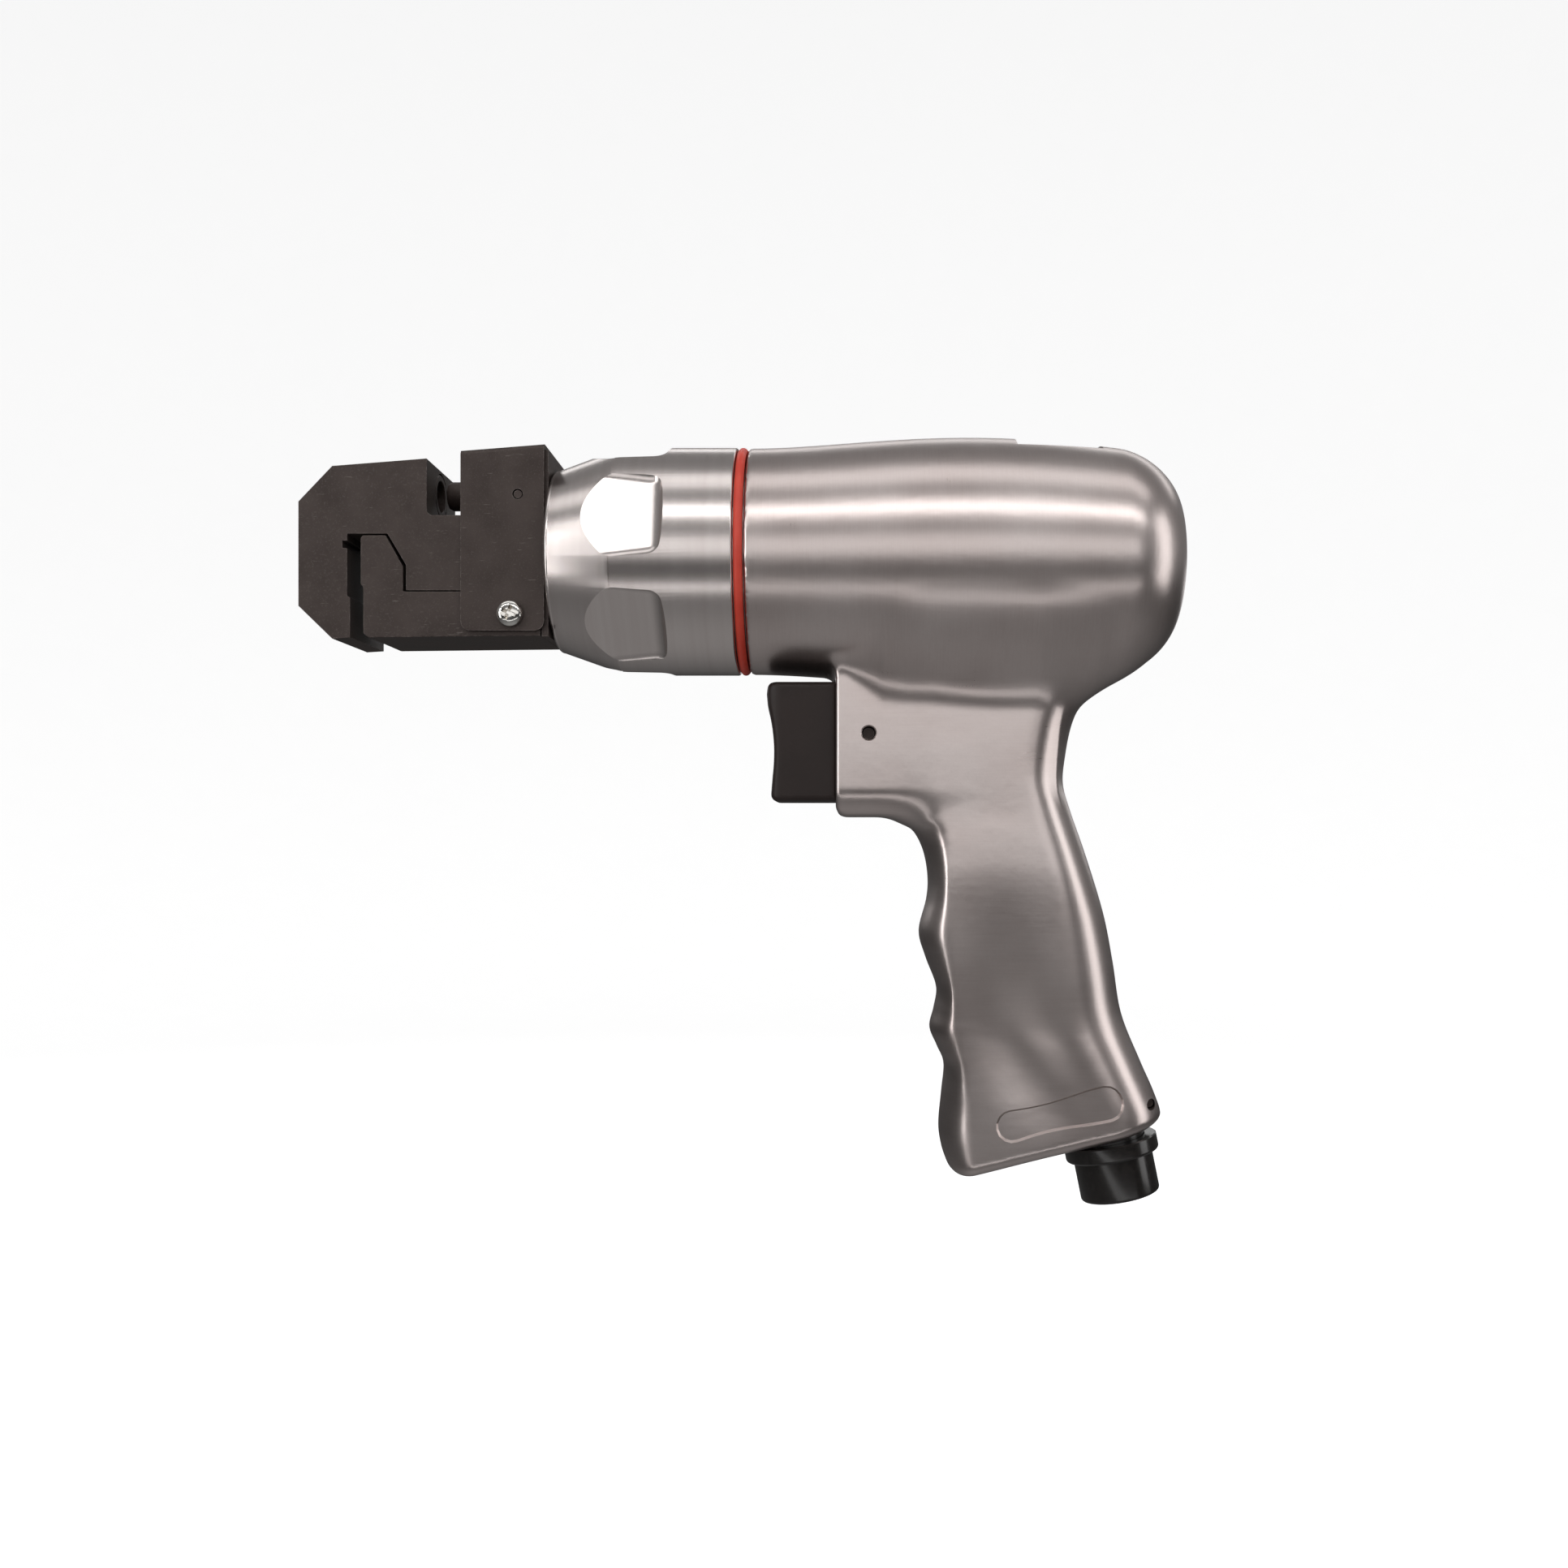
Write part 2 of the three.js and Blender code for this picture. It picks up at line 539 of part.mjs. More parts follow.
function bodyHousing() {
  const base = box(-BIG, BIG, -BIG, BIG, -BIG, 0).rotate([0, -BASE_TILT, 0]).translate(BASE_POINT);
  const pocket = box(HOUSING.front - 10, 151.5, -10.6, 10.6, TRIGGER.bottom - 0.6, TRIGGER.top + 0.6);
  const topPocket = box(194, 218, -18, 18, 28.8, 40);
  const exhaust = stacked([[20, 0], [20, 3], [128, 3], [128, 0]], 12).translate([-9.2, 0, 0]);
  return cut(
    join(barrel(), triggerHousing(), grip()),
    base,
    rodX(110, CYLINDER_END, CYLINDER_R, { segments: 36 }),
    pocket,
    rodX(HOUSING.front - 10, 204, VALVE_R, { z: VALVE_Z }),
    rodY(TRIGGER_PIN.x, VALVE_Z, TRIGGER_PIN.r + GAP, -BIG, BIG),
    topPocket,
    stadiumRecess(),
    box(196, 199, -3, 3, VALVE_Z, 0),
    toTool(stacked([
      [-10, 0], [-10, INLET_BORE_R], [33.3, INLET_BORE_R], [33.3, 4.5], [128, 4.5], [128, 0],
    ])),
    toTool(exhaust),
    rodY(INLET_PIN.x, INLET_PIN.z, INLET_PIN.r + GAP, -BIG, BIG, 12),
  );
}

// ---------------------------------------------------------------- trigger and valve
function trigger() {
  const r = 1.8;
  const [top, bottom, back] = [TRIGGER.top, TRIGGER.bottom, TRIGGER.back];
  const shape = new THREE.Shape();
  shape.moveTo(back, top).lineTo(125.6 + r, top - 0.3).quadraticCurveTo(125.4, top - 0.3, 125.6, top - 2.4);
  shape.bezierCurveTo(128.6, -46, 128.6, -56, 127.2, bottom + 2.2);
  shape.quadraticCurveTo(127.2, bottom, 127.2 + r, bottom).lineTo(back, bottom).closePath();
  const bevel = 1.2;
  const options = {
    depth: 2 * (TRIGGER.half - bevel), bevelThickness: bevel, bevelSize: bevel, bevelOffset: -bevel,
    bevelSegments: 2, curveSegments: 6,
  };
  const geometry = new THREE.ExtrudeGeometry(shape, options);
  const pad = solid(geometry.rotateX(Math.PI / 2).translate(0, TRIGGER.half - bevel, 0));
  const boss = rodX(back - 3, 160, VALVE_R - GAP, { z: VALVE_Z });
  const reach = TRIGGER_PIN.r + GAP;
  const slot = box(TRIGGER_PIN.x - reach - TRIGGER.travel, TRIGGER_PIN.x + reach, -BIG, BIG,
    VALVE_Z - reach, VALVE_Z + reach);
  return cut(join(pad, boss), slot.intersect(box(back + 0.1, BIG, -BIG, BIG, -BIG, BIG)));
}

function valveStem() {
  return turned([
    [160.4, 0], [160.4, 2.6], [188.4, 2.6], [188.4, 5.2], [191, 5.2], [191, 0],
  ], { z: VALVE_Z });
}

function triggerAndValve() {
  add("trigger", trigger(), "blackPlastic");
  add("trigger_pin", rodY(TRIGGER_PIN.x, VALVE_Z, TRIGGER_PIN.r, -11.5, 11.5), "toolSteel");
  add("valve_bush", ring(166, 186, 3, VALVE_R - GAP, { z: VALVE_Z }), "brass");
  add("valve_stem", valveStem(), "brass");
  add("valve_o_ring", ring(186.3, 188.1, 2.9, 4.9, { z: VALVE_Z }), "rubber");
  add("valve_spring", coil(191.4, 203.6, 4.2, 0.5, 5, { z: VALVE_Z, steps: 8 }), "springSteel");
}

// ---------------------------------------------------------------- air inlet
function inletBushing() {
  return stacked([
    [0, 6.6], [0, 10.2], [0.8, 11], [11.1, 11], [11.1, 9.6], [27.2, 9.6], [27.2, 11.7], [28.9, 11.7],
    [28.9, 10.5], [31.1, 10.5], [31.1, 11.7], [33, 11.7], [33, 4.5], [18, 4.5], [18, 6.6], [0, 6.6],
  ], 20);
}

function exhaustDeflector() {
  return stacked([
    [11.4, 9.9], [11.4, 12.4], [12.4, 13], [14.9, 13], [15.9, 12.4], [15.9, 9.9], [11.4, 9.9],
  ], 20);
}

function inletScreen() {
  const disc = stacked([[16, 0], [16, 6.2], [17.6, 6.2], [17.6, 0]], 18);
  const holes = Array.from({ length: 6 }, (_, i) => {
    const centre = circlePoint(3.6, (Math.PI / 3) * i);
    return stacked([[15, 0], [15, 1.1], [19, 1.1], [19, 0]], 8).translate([centre.x, centre.y, 0]);
  });
  return cut(disc, ...holes);
}

function airInlet() {
  addTo(inletStack, "inlet_bushing", inletBushing(), "glossBlack");
  addTo(inletStack, "exhaust_deflector", exhaustDeflector(), "glossBlack");
  addTo(inletStack, "exhaust_muffler", stackedRing(17.9, 23.2, 9.9, 11.7, 24), "felt");
  addTo(inletStack, "inlet_o_ring", stackedRing(29.2, 30.8, 10.8, 11.7, 24), "rubber");
  addTo(inletStack, "inlet_screen", inletScreen(), "brass");
  add("inlet_pin", rodY(INLET_PIN.x, INLET_PIN.z, INLET_PIN.r, -6.4, 6.4, 12), "toolSteel");
}

head();
nose();
cylinder();
add("body_housing", bodyHousing(), "cast");
triggerAndValve();
airInlet();

export default group;
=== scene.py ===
"""Looks for the pneumatic punch and flange gun, built around its CAD frame.

Shapes are drawn in millimetres in the frame's own axes and scaled to metres when they become meshes.
+X runs to the rear of the tool, +Z is up, and the camera looks along +Y at the side with the screw.
"""
import json
import math

import bmesh
import bpy
import numpy as np
import openvdb
from mathutils import Matrix, Vector


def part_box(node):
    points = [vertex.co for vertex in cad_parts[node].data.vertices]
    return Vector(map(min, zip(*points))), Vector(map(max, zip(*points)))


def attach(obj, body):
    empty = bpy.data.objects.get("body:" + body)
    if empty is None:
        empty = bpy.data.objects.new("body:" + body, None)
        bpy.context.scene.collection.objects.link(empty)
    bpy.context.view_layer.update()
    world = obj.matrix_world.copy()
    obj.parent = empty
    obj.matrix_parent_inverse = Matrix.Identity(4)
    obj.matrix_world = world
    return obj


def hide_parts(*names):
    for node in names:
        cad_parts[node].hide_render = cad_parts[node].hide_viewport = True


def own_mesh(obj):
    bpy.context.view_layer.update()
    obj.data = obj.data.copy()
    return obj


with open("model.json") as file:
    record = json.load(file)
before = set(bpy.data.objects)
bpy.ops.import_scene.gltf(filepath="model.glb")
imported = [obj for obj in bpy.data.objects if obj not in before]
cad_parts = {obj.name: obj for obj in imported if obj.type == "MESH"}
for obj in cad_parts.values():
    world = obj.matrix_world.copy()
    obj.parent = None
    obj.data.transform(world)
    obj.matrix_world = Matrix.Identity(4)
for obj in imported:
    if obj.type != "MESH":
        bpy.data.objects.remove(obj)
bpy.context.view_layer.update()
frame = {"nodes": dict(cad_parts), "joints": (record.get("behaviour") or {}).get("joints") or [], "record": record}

MM = 0.001
SHARP_ANGLE = math.radians(32)


# ------------------------------------------------------------------ places taken from the frame
def box_mm(node):
    """The two corners of a node's box, in millimetres."""
    low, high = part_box(node)
    return low / MM, high / MM


def cross_place(node):
    """The (x, z) place of a piece that lies along Y."""
    low, high = box_mm(node)
    return ((low.x + high.x) / 2, (low.z + high.z) / 2)


HOUSING_LOW, HOUSING_HIGH = box_mm("body_housing")
NOSE_LOW, NOSE_HIGH = box_mm("nose_cap")
RING_LOW, RING_HIGH = box_mm("seal_ring")
COVER_LOW, COVER_HIGH = box_mm("cover_plate")
SCREW_LOW, SCREW_HIGH = box_mm("cover_screw")
TRIGGER_LOW, TRIGGER_HIGH = box_mm("trigger")
PUNCH_LOW, PUNCH_HIGH = box_mm("punch")
DIE_LOW, DIE_HIGH = box_mm("die_button")
PISTON_R = box_mm("piston")[1].y

JOINTS = {joint["name"]: joint for joint in frame["joints"]}
INLET_AXIS = Vector(JOINTS["deflector_turn"]["axis"])
INLET_FACE = Vector(JOINTS["deflector_turn"]["pos_m"]) / MM
INLET_TILT = math.atan2(INLET_AXIS.x, -INLET_AXIS.z)

# The clearance between pieces, and what keeps the faceted barrel inside its CAD box.
GAP = 0.3
WITHIN_BOX = 0.02
BARREL_REAR = HOUSING_HIGH.x
BARREL_MAX_R = HOUSING_HIGH.y - WITHIN_BOX
BARREL_FRONT = RING_HIGH.x + GAP
BORE_R = PISTON_R + GAP
PUNCH_Z = (PUNCH_LOW.z + PUNCH_HIGH.z) / 2
SCREW_AT = cross_place("cover_screw")
PIN_AT = cross_place("trigger_pin")
INLET_PIN_AT = cross_place("inlet_pin")
VALVE_Z = PIN_AT[1]


# ------------------------------------------------------------------ mesh helpers
def new_object(name, data):
    """Adds an object to the scene."""
    thing = bpy.data.objects.new(name, data)
    bpy.context.scene.collection.objects.link(thing)
    return thing


def object_from(name, points, faces):
    """A mesh object from points in millimetres."""
    mesh = bpy.data.meshes.new(name)
    mesh.from_pydata((np.asarray(points, float) * MM).tolist(), [], [list(face) for face in faces])
    return new_object(name, mesh)


def face_outwards(thing):
    """Turns the faces of a closed mesh so that they all look outwards."""
    work = bmesh.new()
    work.from_mesh(thing.data)
    bmesh.ops.recalc_face_normals(work, faces=work.faces)
    work.to_mesh(thing.data)
    work.free()


def shade(thing, angle=SHARP_ANGLE):
    """Smooth shading that keeps every edge sharper than the angle."""
    work = bmesh.new()
    work.from_mesh(thing.data)
    for face in work.faces:
        face.smooth = True
    for edge in work.edges:
        edge.smooth = not (len(edge.link_faces) == 2 and edge.calc_face_angle() > angle)
    work.to_mesh(thing.data)
    work.free()


def settle(thing):
    """Applies the object's modifiers to its mesh."""
    graph = bpy.context.evaluated_depsgraph_get()
    graph.update()
    mesh = bpy.data.meshes.new_from_object(thing.evaluated_get(graph))
    thing.modifiers.clear()
    thing.data = mesh


def carve(thing, tools, operation="DIFFERENCE"):
    """Cuts or joins closed tools into a closed object, then deletes the tools."""
    for tool in tools:
        step = thing.modifiers.new("carve", "BOOLEAN")
        step.operation = operation
        step.solver = "MANIFOLD"
        step.object = tool
    settle(thing)
    for tool in tools:
        bpy.data.objects.remove(tool)


def soften(thing, width, segments=2, angle=35):
    """Rounds the sharp edges by a width in millimetres."""
    step = thing.modifiers.new("soften", "BEVEL")
    step.width = width * MM
    step.segments = segments
    step.limit_method = "ANGLE"
    step.angle_limit = math.radians(angle)
    step.miter_outer = "MITER_ARC"
    settle(thing)


def lathe(name, profile, segments=128, place=None):
    """A body turned about X from (x, radius) points; a profile off the axis closes on itself."""
    closed = min(radius for _, radius in profile) > 0
    rings = []
    points = []
    for x, radius in profile:
        if radius == 0:
            rings.append([len(points)] * segments)
            points.append((x, 0, 0))
            continue
        rings.append(list(range(len(points), len(points) + segments)))
        for i in range(segments):
            angle = 2 * math.pi * i / segments
            points.append((x, radius * math.cos(angle), radius * math.sin(angle)))
    pairs = list(zip(rings, rings[1:] + (rings[:1] if closed else [])))
    faces = []
    for first, second in (pairs if closed else pairs[:len(rings) - 1]):
        for i in range(segments):
            j = (i + 1) % segments
            corners = [first[i], first[j], second[j], second[i]]
            face = [c for k, c in enumerate(corners) if c not in corners[:k]]
            if len(face) > 2:
                faces.append(face)
    thing = object_from(name, points, faces)
    if place is not None:
        thing.data.transform(Matrix.Scale(MM, 4) @ place @ Matrix.Scale(1 / MM, 4))
    face_outwards(thing)
    return thing


def prism(name, outline, low, high):
    """An outline of (x, z) points extruded along Y."""
    count = len(outline)
    points = [(x, y, z) for y in (low, high) for x, z in outline]
    faces = [list(range(count)), list(range(2 * count - 1, count - 1, -1))]
    for i in range(count):
        j = (i + 1) % count
        faces.append([j, i, count + i, count + j])
    thing = object_from(name, points, faces)
    face_outwards(thing)
    return thing


def bore(name, start, end, radius, segments, place=None):
    """A plain round cutter along X, moved to its place if it has one."""
    return lathe(name, [(start, 0), (start, radius), (end, radius), (end, 0)], segments, place)


def block(name, low, high):
    """A box between two corners."""
    outline = [(low[0], low[2]), (high[0], low[2]), (high[0], high[2]), (low[0], high[2])]
    return prism(name, outline, low[1], high[1])


def arc(centre, radius, start, end, steps=8):
    """Points of an arc, from one angle in degrees to another."""
    angles = np.radians(np.linspace(start, end, steps + 1))
    return [(centre[0] + radius * math.cos(a), centre[1] + radius * math.sin(a)) for a in angles]


def smooth_line(points, per_span=6):
    """A Catmull-Rom curve through the points."""
    p = np.array(points, float)
    p = np.vstack([2 * p[0] - p[1], p, 2 * p[-1] - p[-2]])
    t = np.linspace(0, 1, per_span, endpoint=False)[:, None]
    spans = []
    for a, b, c, d in zip(p, p[1:], p[2:], p[3:]):
        spans.append(0.5 * (2 * b + (c - a) * t + (2 * a - 5 * b + 4 * c - d) * t ** 2
                            + (3 * b - a - 3 * c + d) * t ** 3))
    return np.vstack(spans + [p[-2:-1]])


def turned_along_y(x, z):
    """The place of a lathe body whose own axis is turned from +X to -Y."""
    return Matrix.Translation((x, 0, z)) @ Matrix.Rotation(math.radians(-90), 4, "Z")


INLET_PLACE = Matrix.Translation(INLET_FACE) @ Matrix.Rotation(-INLET_TILT - math.radians(90), 4, "Y")


# ------------------------------------------------------------------ distance fields
def smooth_union(a, b, blend):
    """Inside a or b, with a fillet where they meet."""
    share = np.clip(0.5 + 0.5 * (b - a) / blend, 0, 1)
    return b * (1 - share) + a * share - blend * share * (1 - share)


def rounded_meet(a, b, radius):
    """Inside both a and b, with the edge where they meet rounded."""
    outside = np.hypot(np.maximum(a + radius, 0), np.maximum(b + radius, 0))
    return np.minimum(np.maximum(a, b) + radius, 0) + outside - radius


def outline_distance(x, z, outline):
    """Signed distance to a closed outline of (x, z) points, negative inside."""
    shape = np.broadcast(x, z).shape
    nearest = np.full(shape, np.inf)
    inside = np.zeros(shape, bool)
    for (ax, az), (bx, bz) in zip(outline, np.roll(outline, -1, axis=0)):
        ex, ez = bx - ax, bz - az
        along = np.clip(((x - ax) * ex + (z - az) * ez) / (ex * ex + ez * ez + 1e-12), 0, 1)
        nearest = np.minimum(nearest, np.hypot(x - ax - along * ex, z - az - along * ez))
        if az != bz:
            inside ^= ((az > z) != (bz > z)) & (x < ax + (z - az) * ex / ez)
    return np.where(inside, -nearest, nearest)


def mesh_of_field(name, field, low, high, step):
    """The closed surface where a distance field is zero, with its points pulled onto it."""
    axes = [np.arange(a - 3 * step, b + 4 * step, step) for a, b in zip(low, high)]
    x, y, z = axes[0][:, None, None], axes[1][None, :, None], axes[2][None, None, :]
    values = np.ascontiguousarray(field(x, y, z), dtype=np.float32)
    grid = openvdb.FloatGrid(3 * step)
    grid.copyFromArray(values)
    points, quads = grid.convertToQuads()
    points = points.astype(float) * step + np.array([axis[0] for axis in axes])
    reach = step / 4
    least_slope = 0.05
    for _ in range(2):
        here = field(*points.T)
        slope = np.stack([field(*(points + reach * side).T) - here for side in np.eye(3)], axis=1) / reach
        length = np.maximum((slope ** 2).sum(1), least_slope)
        move = -slope * (here / length)[:, None]
        points += np.clip(move, -step, step)
    thing = object_from(name, points, quads)
    face_outwards(thing)
    return thing


# ------------------------------------------------------------------ materials
class Finish:
    """A node material, with short ways to add the nodes that most finishes use."""

    def __init__(self, name, colour, metallic, roughness):
        self.material = bpy.data.materials.new(name)
        self.material.use_nodes = True
        self.tree = self.material.node_tree
        self.shader = self.tree.nodes["Principled BSDF"]
        self.shader.inputs["Base Color"].default_value = (*colour, 1)
        self.shader.inputs["Metallic"].default_value = metallic
        self.shader.inputs["Roughness"].default_value = roughness
        self.place = self.node("ShaderNodeTexCoord").outputs["Object"]

    def node(self, kind, **values):
        node = self.tree.nodes.new(kind)
        for name, value in values.items():
            setattr(node, name, value)
        return node

    def join(self, source, target):
        self.tree.links.new(source, target)

    def noise(self, scale, detail=3.0):
        """Noise with its own number of grains per metre along each axis."""
        mapping = self.node("ShaderNodeMapping")
        mapping.inputs["Scale"].default_value = scale
        noise = self.node("ShaderNodeTexNoise")
        noise.inputs["Scale"].default_value = 1
        noise.inputs["Detail"].default_value = detail
        self.join(self.place, mapping.inputs["Vector"])
        self.join(mapping.outputs["Vector"], noise.inputs["Vector"])
        return noise.outputs["Fac"]

    def spread(self, value, low, high, start=0.3, end=0.7):
        """Maps a value between start and end onto low to high."""
        node = self.node("ShaderNodeMapRange")
        for socket, number in (("From Min", start), ("From Max", end), ("To Min", low), ("To Max", high)):
            node.inputs[socket].default_value = number
        self.join(value, node.inputs["Value"])
        return node.outputs["Result"]

    def math(self, operation, a, b):
        node = self.node("ShaderNodeMath", operation=operation)
        for socket, value in zip(node.inputs, (a, b)):
            if isinstance(value, (int, float)):
                socket.default_value = value
            else:
                self.join(value, socket)
        return node.outputs[0]

    def blend(self, share, first, second):
        """A colour between two, each a colour or another node's output."""
        node = self.node("ShaderNodeMix", data_type="RGBA")
        self.join(share, node.inputs[0])
        for socket, value in zip((node.inputs[6], node.inputs[7]), (first, second)):
            if isinstance(value, tuple):
                socket.default_value = (*value, 1)
            else:
                self.join(value, socket)
        return node.outputs[2]

    def edges(self, radius):
        """1 along edges and corners, fading to 0 on the flats."""
        bevel = self.node("ShaderNodeBevel", samples=4)
        bevel.inputs["Radius"].default_value = radius * MM
        normal = self.node("ShaderNodeNewGeometry").outputs["Normal"]
        dot = self.node("ShaderNodeVectorMath", operation="DOT_PRODUCT")
        self.join(bevel.outputs["Normal"], dot.inputs[0])
        self.join(normal, dot.inputs[1])
        return self.spread(dot.outputs["Value"], 1, 0, start=0.8, end=0.995)

    def colour(self, value):
        self.join(value, self.shader.inputs["Base Color"])

    def roughness(self, value):
        self.join(value, self.shader.inputs["Roughness"])

    def bump(self, *heights):
        """Stacks bumps, each a pair of a height value and its depth in millimetres."""
        under = None
        for value, depth in heights:
            node = self.node("ShaderNodeBump")
            node.inputs["Distance"].default_value = depth * MM
            self.join(value, node.inputs["Height"])
            if under is not None:
                self.join(under, node.inputs["Normal"])
            under = node.outputs["Normal"]
        self.join(under, self.shader.inputs["Normal"])


def cast_aluminium():
    """A fine casting with clouds and grain, softly brushed round the barrel and across the grip, with a painted
    highlight along its edges.
    """
    finish = Finish("cast_aluminium", (0.6, 0.53, 0.51), 1, 0.4)
    clouds = finish.noise((45, 45, 45), detail=4)
    grain = finish.noise((1500, 1500, 1500), detail=2)
    peel = finish.noise((420, 420, 420), detail=3)
    round_barrel = finish.noise((3000, 120, 120))
    across_grip = finish.noise((90, 90, 3000))
    height = finish.node("ShaderNodeSeparateXYZ")
    finish.join(finish.place, height.inputs[0])
    grip_top, barrel_bottom = -0.046, -0.026
    on_grip = finish.spread(height.outputs["Z"], 1, 0, start=grip_top, end=barrel_bottom)
    mixed = finish.node("ShaderNodeMix")
    finish.join(on_grip, mixed.inputs[0])
    finish.join(round_barrel, mixed.inputs[2])
    finish.join(across_grip, mixed.inputs[3])
    brushed = mixed.outputs[0]
    tone = finish.blend(finish.spread(clouds, 0, 1), (0.53, 0.455, 0.435), (0.605, 0.535, 0.515))
    tone = finish.blend(finish.spread(grain, 0, 0.18, start=0.4, end=0.9), tone, (0.46, 0.39, 0.37))
    tone = finish.blend(finish.spread(brushed, 0, 0.16, start=0.3, end=0.8), tone, (0.74, 0.68, 0.66))
    # Painted highlight: every edge and corner of the casting is painted lighter.
    tone = finish.blend(finish.spread(finish.edges(0.7), 0, 0.25, start=0, end=1), tone, (0.8, 0.76, 0.74))
    finish.colour(tone)
    rough = finish.math("ADD", finish.spread(brushed, 0.285, 0.305), finish.spread(clouds, -0.015, 0.015))
    finish.roughness(rough)
    finish.bump((clouds, 0.1), (peel, 0.02), (grain, 0.003), (brushed, 0.001))
    return finish.material


def turned_aluminium():
    """Bright metal with the fine rings that a lathe leaves, and a painted highlight along its edges."""
    finish = Finish("turned_aluminium", (0.7, 0.64, 0.62), 1, 0.25)
    rings = finish.noise((4200, 8, 8), detail=2)
    bands = finish.noise((420, 5, 5), detail=2)
    clouds = finish.noise((70, 70, 70), detail=4)
    grain = finish.noise((1800, 1800, 1800), detail=3)
    tone = finish.blend(finish.spread(bands, 0, 1), (0.61, 0.55, 0.53), (0.65, 0.595, 0.575))
    # Painted highlight: every edge and corner is painted lighter.
    tone = finish.blend(finish.spread(finish.edges(0.4), 0, 0.3, start=0, end=1), tone, (0.84, 0.8, 0.78))
    finish.colour(tone)
    rough = finish.math("ADD", finish.spread(rings, 0.235, 0.255), finish.spread(clouds, -0.01, 0.015))
    finish.roughness(rough)
    finish.bump((rings, 0.0004), (bands, 0.001), (grain, 0.002))
    return finish.material


def black_steel():
    """Black oxide on ground steel: brown black, speckled, lightly scratched and worn along the edges."""
    finish = Finish("black_steel", (0.045, 0.034, 0.03), 0.4, 0.5)
    clouds = finish.noise((110, 110, 110), detail=5)
    grain = finish.noise((2300, 2300, 2300), detail=3)
    ground = finish.noise((160, 160, 2400), detail=2)
    chips = finish.noise((900, 900, 900), detail=4)
    scratches = finish.noise((260, 700, 1900), detail=2)
    tone = finish.blend(finish.spread(clouds, 0, 1), (0.038, 0.0255, 0.0215), (0.062, 0.0455, 0.04))
    tone = finish.blend(finish.spread(grain, 0, 0.6, start=0.55, end=0.75), tone, (0.1, 0.082, 0.074))
    tone = finish.blend(finish.spread(scratches, 0, 0.3, start=0.7, end=0.76), tone, (0.24, 0.21, 0.195))
    worn = finish.math("MULTIPLY", finish.edges(0.4), finish.spread(chips, 0.1, 0.8, start=0.44, end=0.6))
    tone = finish.blend(worn, tone, (0.24, 0.21, 0.195))
    finish.colour(tone)
    rough = finish.math("ADD", finish.spread(clouds, 0.44, 0.56), finish.spread(grain, -0.05, 0.07))
    finish.roughness(rough)
    finish.bump((clouds, 0.03), (grain, 0.012), (ground, 0.006))
    return finish.material


def tool_steel():
    """Bright ground steel with a little staining."""
    finish = Finish("tool_steel", (0.42, 0.4, 0.385), 1, 0.3)
    ground = finish.noise((1900, 300, 300), detail=3)
    stain = finish.noise((160, 160, 160), detail=5)
    finish.colour(finish.blend(finish.spread(stain, 0, 1), (0.33, 0.31, 0.295), (0.5, 0.485, 0.47)))
    finish.roughness(finish.spread(ground, 0.22, 0.4))
    finish.bump((ground, 0.006), (stain, 0.02))
    return finish.material


def chrome():
    """Plated screw, slightly hazed."""
    finish = Finish("chrome", (0.86, 0.86, 0.86), 1, 0.1)
    haze = finish.noise((600, 600, 600), detail=4)
    finish.colour(finish.blend(finish.spread(haze, 0, 1), (0.6, 0.575, 0.54), (0.78, 0.76, 0.73)))
    finish.roughness(finish.spread(haze, 0.07, 0.2))
    finish.bump((haze, 0.012))
    return finish.material


def brass():
    """Turned brass."""
    finish = Finish("brass", (0.7, 0.52, 0.24), 1, 0.3)
    rings = finish.noise((2600, 40, 40), detail=2)
    finish.colour(finish.blend(finish.spread(rings, 0, 1), (0.62, 0.45, 0.2), (0.76, 0.59, 0.3)))
    finish.roughness(finish.spread(rings, 0.22, 0.38))
    finish.bump((rings, 0.008))
    return finish.material


def spring_steel():
    """Drawn wire."""
    finish = Finish("spring_steel", (0.45, 0.44, 0.43), 1, 0.28)
    drawn = finish.noise((900, 900, 900), detail=4)
    finish.colour(finish.blend(finish.spread(drawn, 0, 1), (0.34, 0.33, 0.32), (0.54, 0.53, 0.52)))
    finish.roughness(finish.spread(drawn, 0.2, 0.4))
    finish.bump((drawn, 0.01))
    return finish.material


def rubber():
    """Dusty black rubber."""
    finish = Finish("rubber", (0.02, 0.02, 0.02), 0, 0.65)
    dust = finish.noise((800, 800, 800), detail=4)
    finish.colour(finish.blend(finish.spread(dust, 0, 1), (0.014, 0.014, 0.014), (0.035, 0.034, 0.033)))
    finish.roughness(finish.spread(dust, 0.55, 0.8))
    finish.bump((dust, 0.02))
    return finish.material


def trigger_plastic():
    """Moulded nylon with a fine leathery grain, its edges painted lighter, partly as rubbed wear and partly as a
    painted sheen.
    """
    finish = Finish("trigger_plastic", (0.03, 0.025, 0.024), 0, 0.45)
    finish.shader.inputs["Specular IOR Level"].default_value = 0.3
    grain = finish.noise((1500, 1500, 1500), detail=2)
    clouds = finish.noise((60, 60, 60), detail=3)
    tone = finish.blend(finish.spread(clouds, 0, 1), (0.017, 0.0105, 0.0092), (0.026, 0.017, 0.0152))
    # Edges painted lighter: partly rubbed wear, partly a painted sheen.
    worn = finish.spread(finish.edges(1.2), 0, 0.35, start=0, end=1)
    tone = finish.blend(worn, tone, (0.055, 0.043, 0.04))
    finish.colour(tone)
    rough = finish.math("ADD", finish.spread(clouds, 0.38, 0.5), finish.spread(grain, -0.03, 0.05))
    finish.roughness(rough)
    finish.bump((grain, 0.02))
    return finish.material


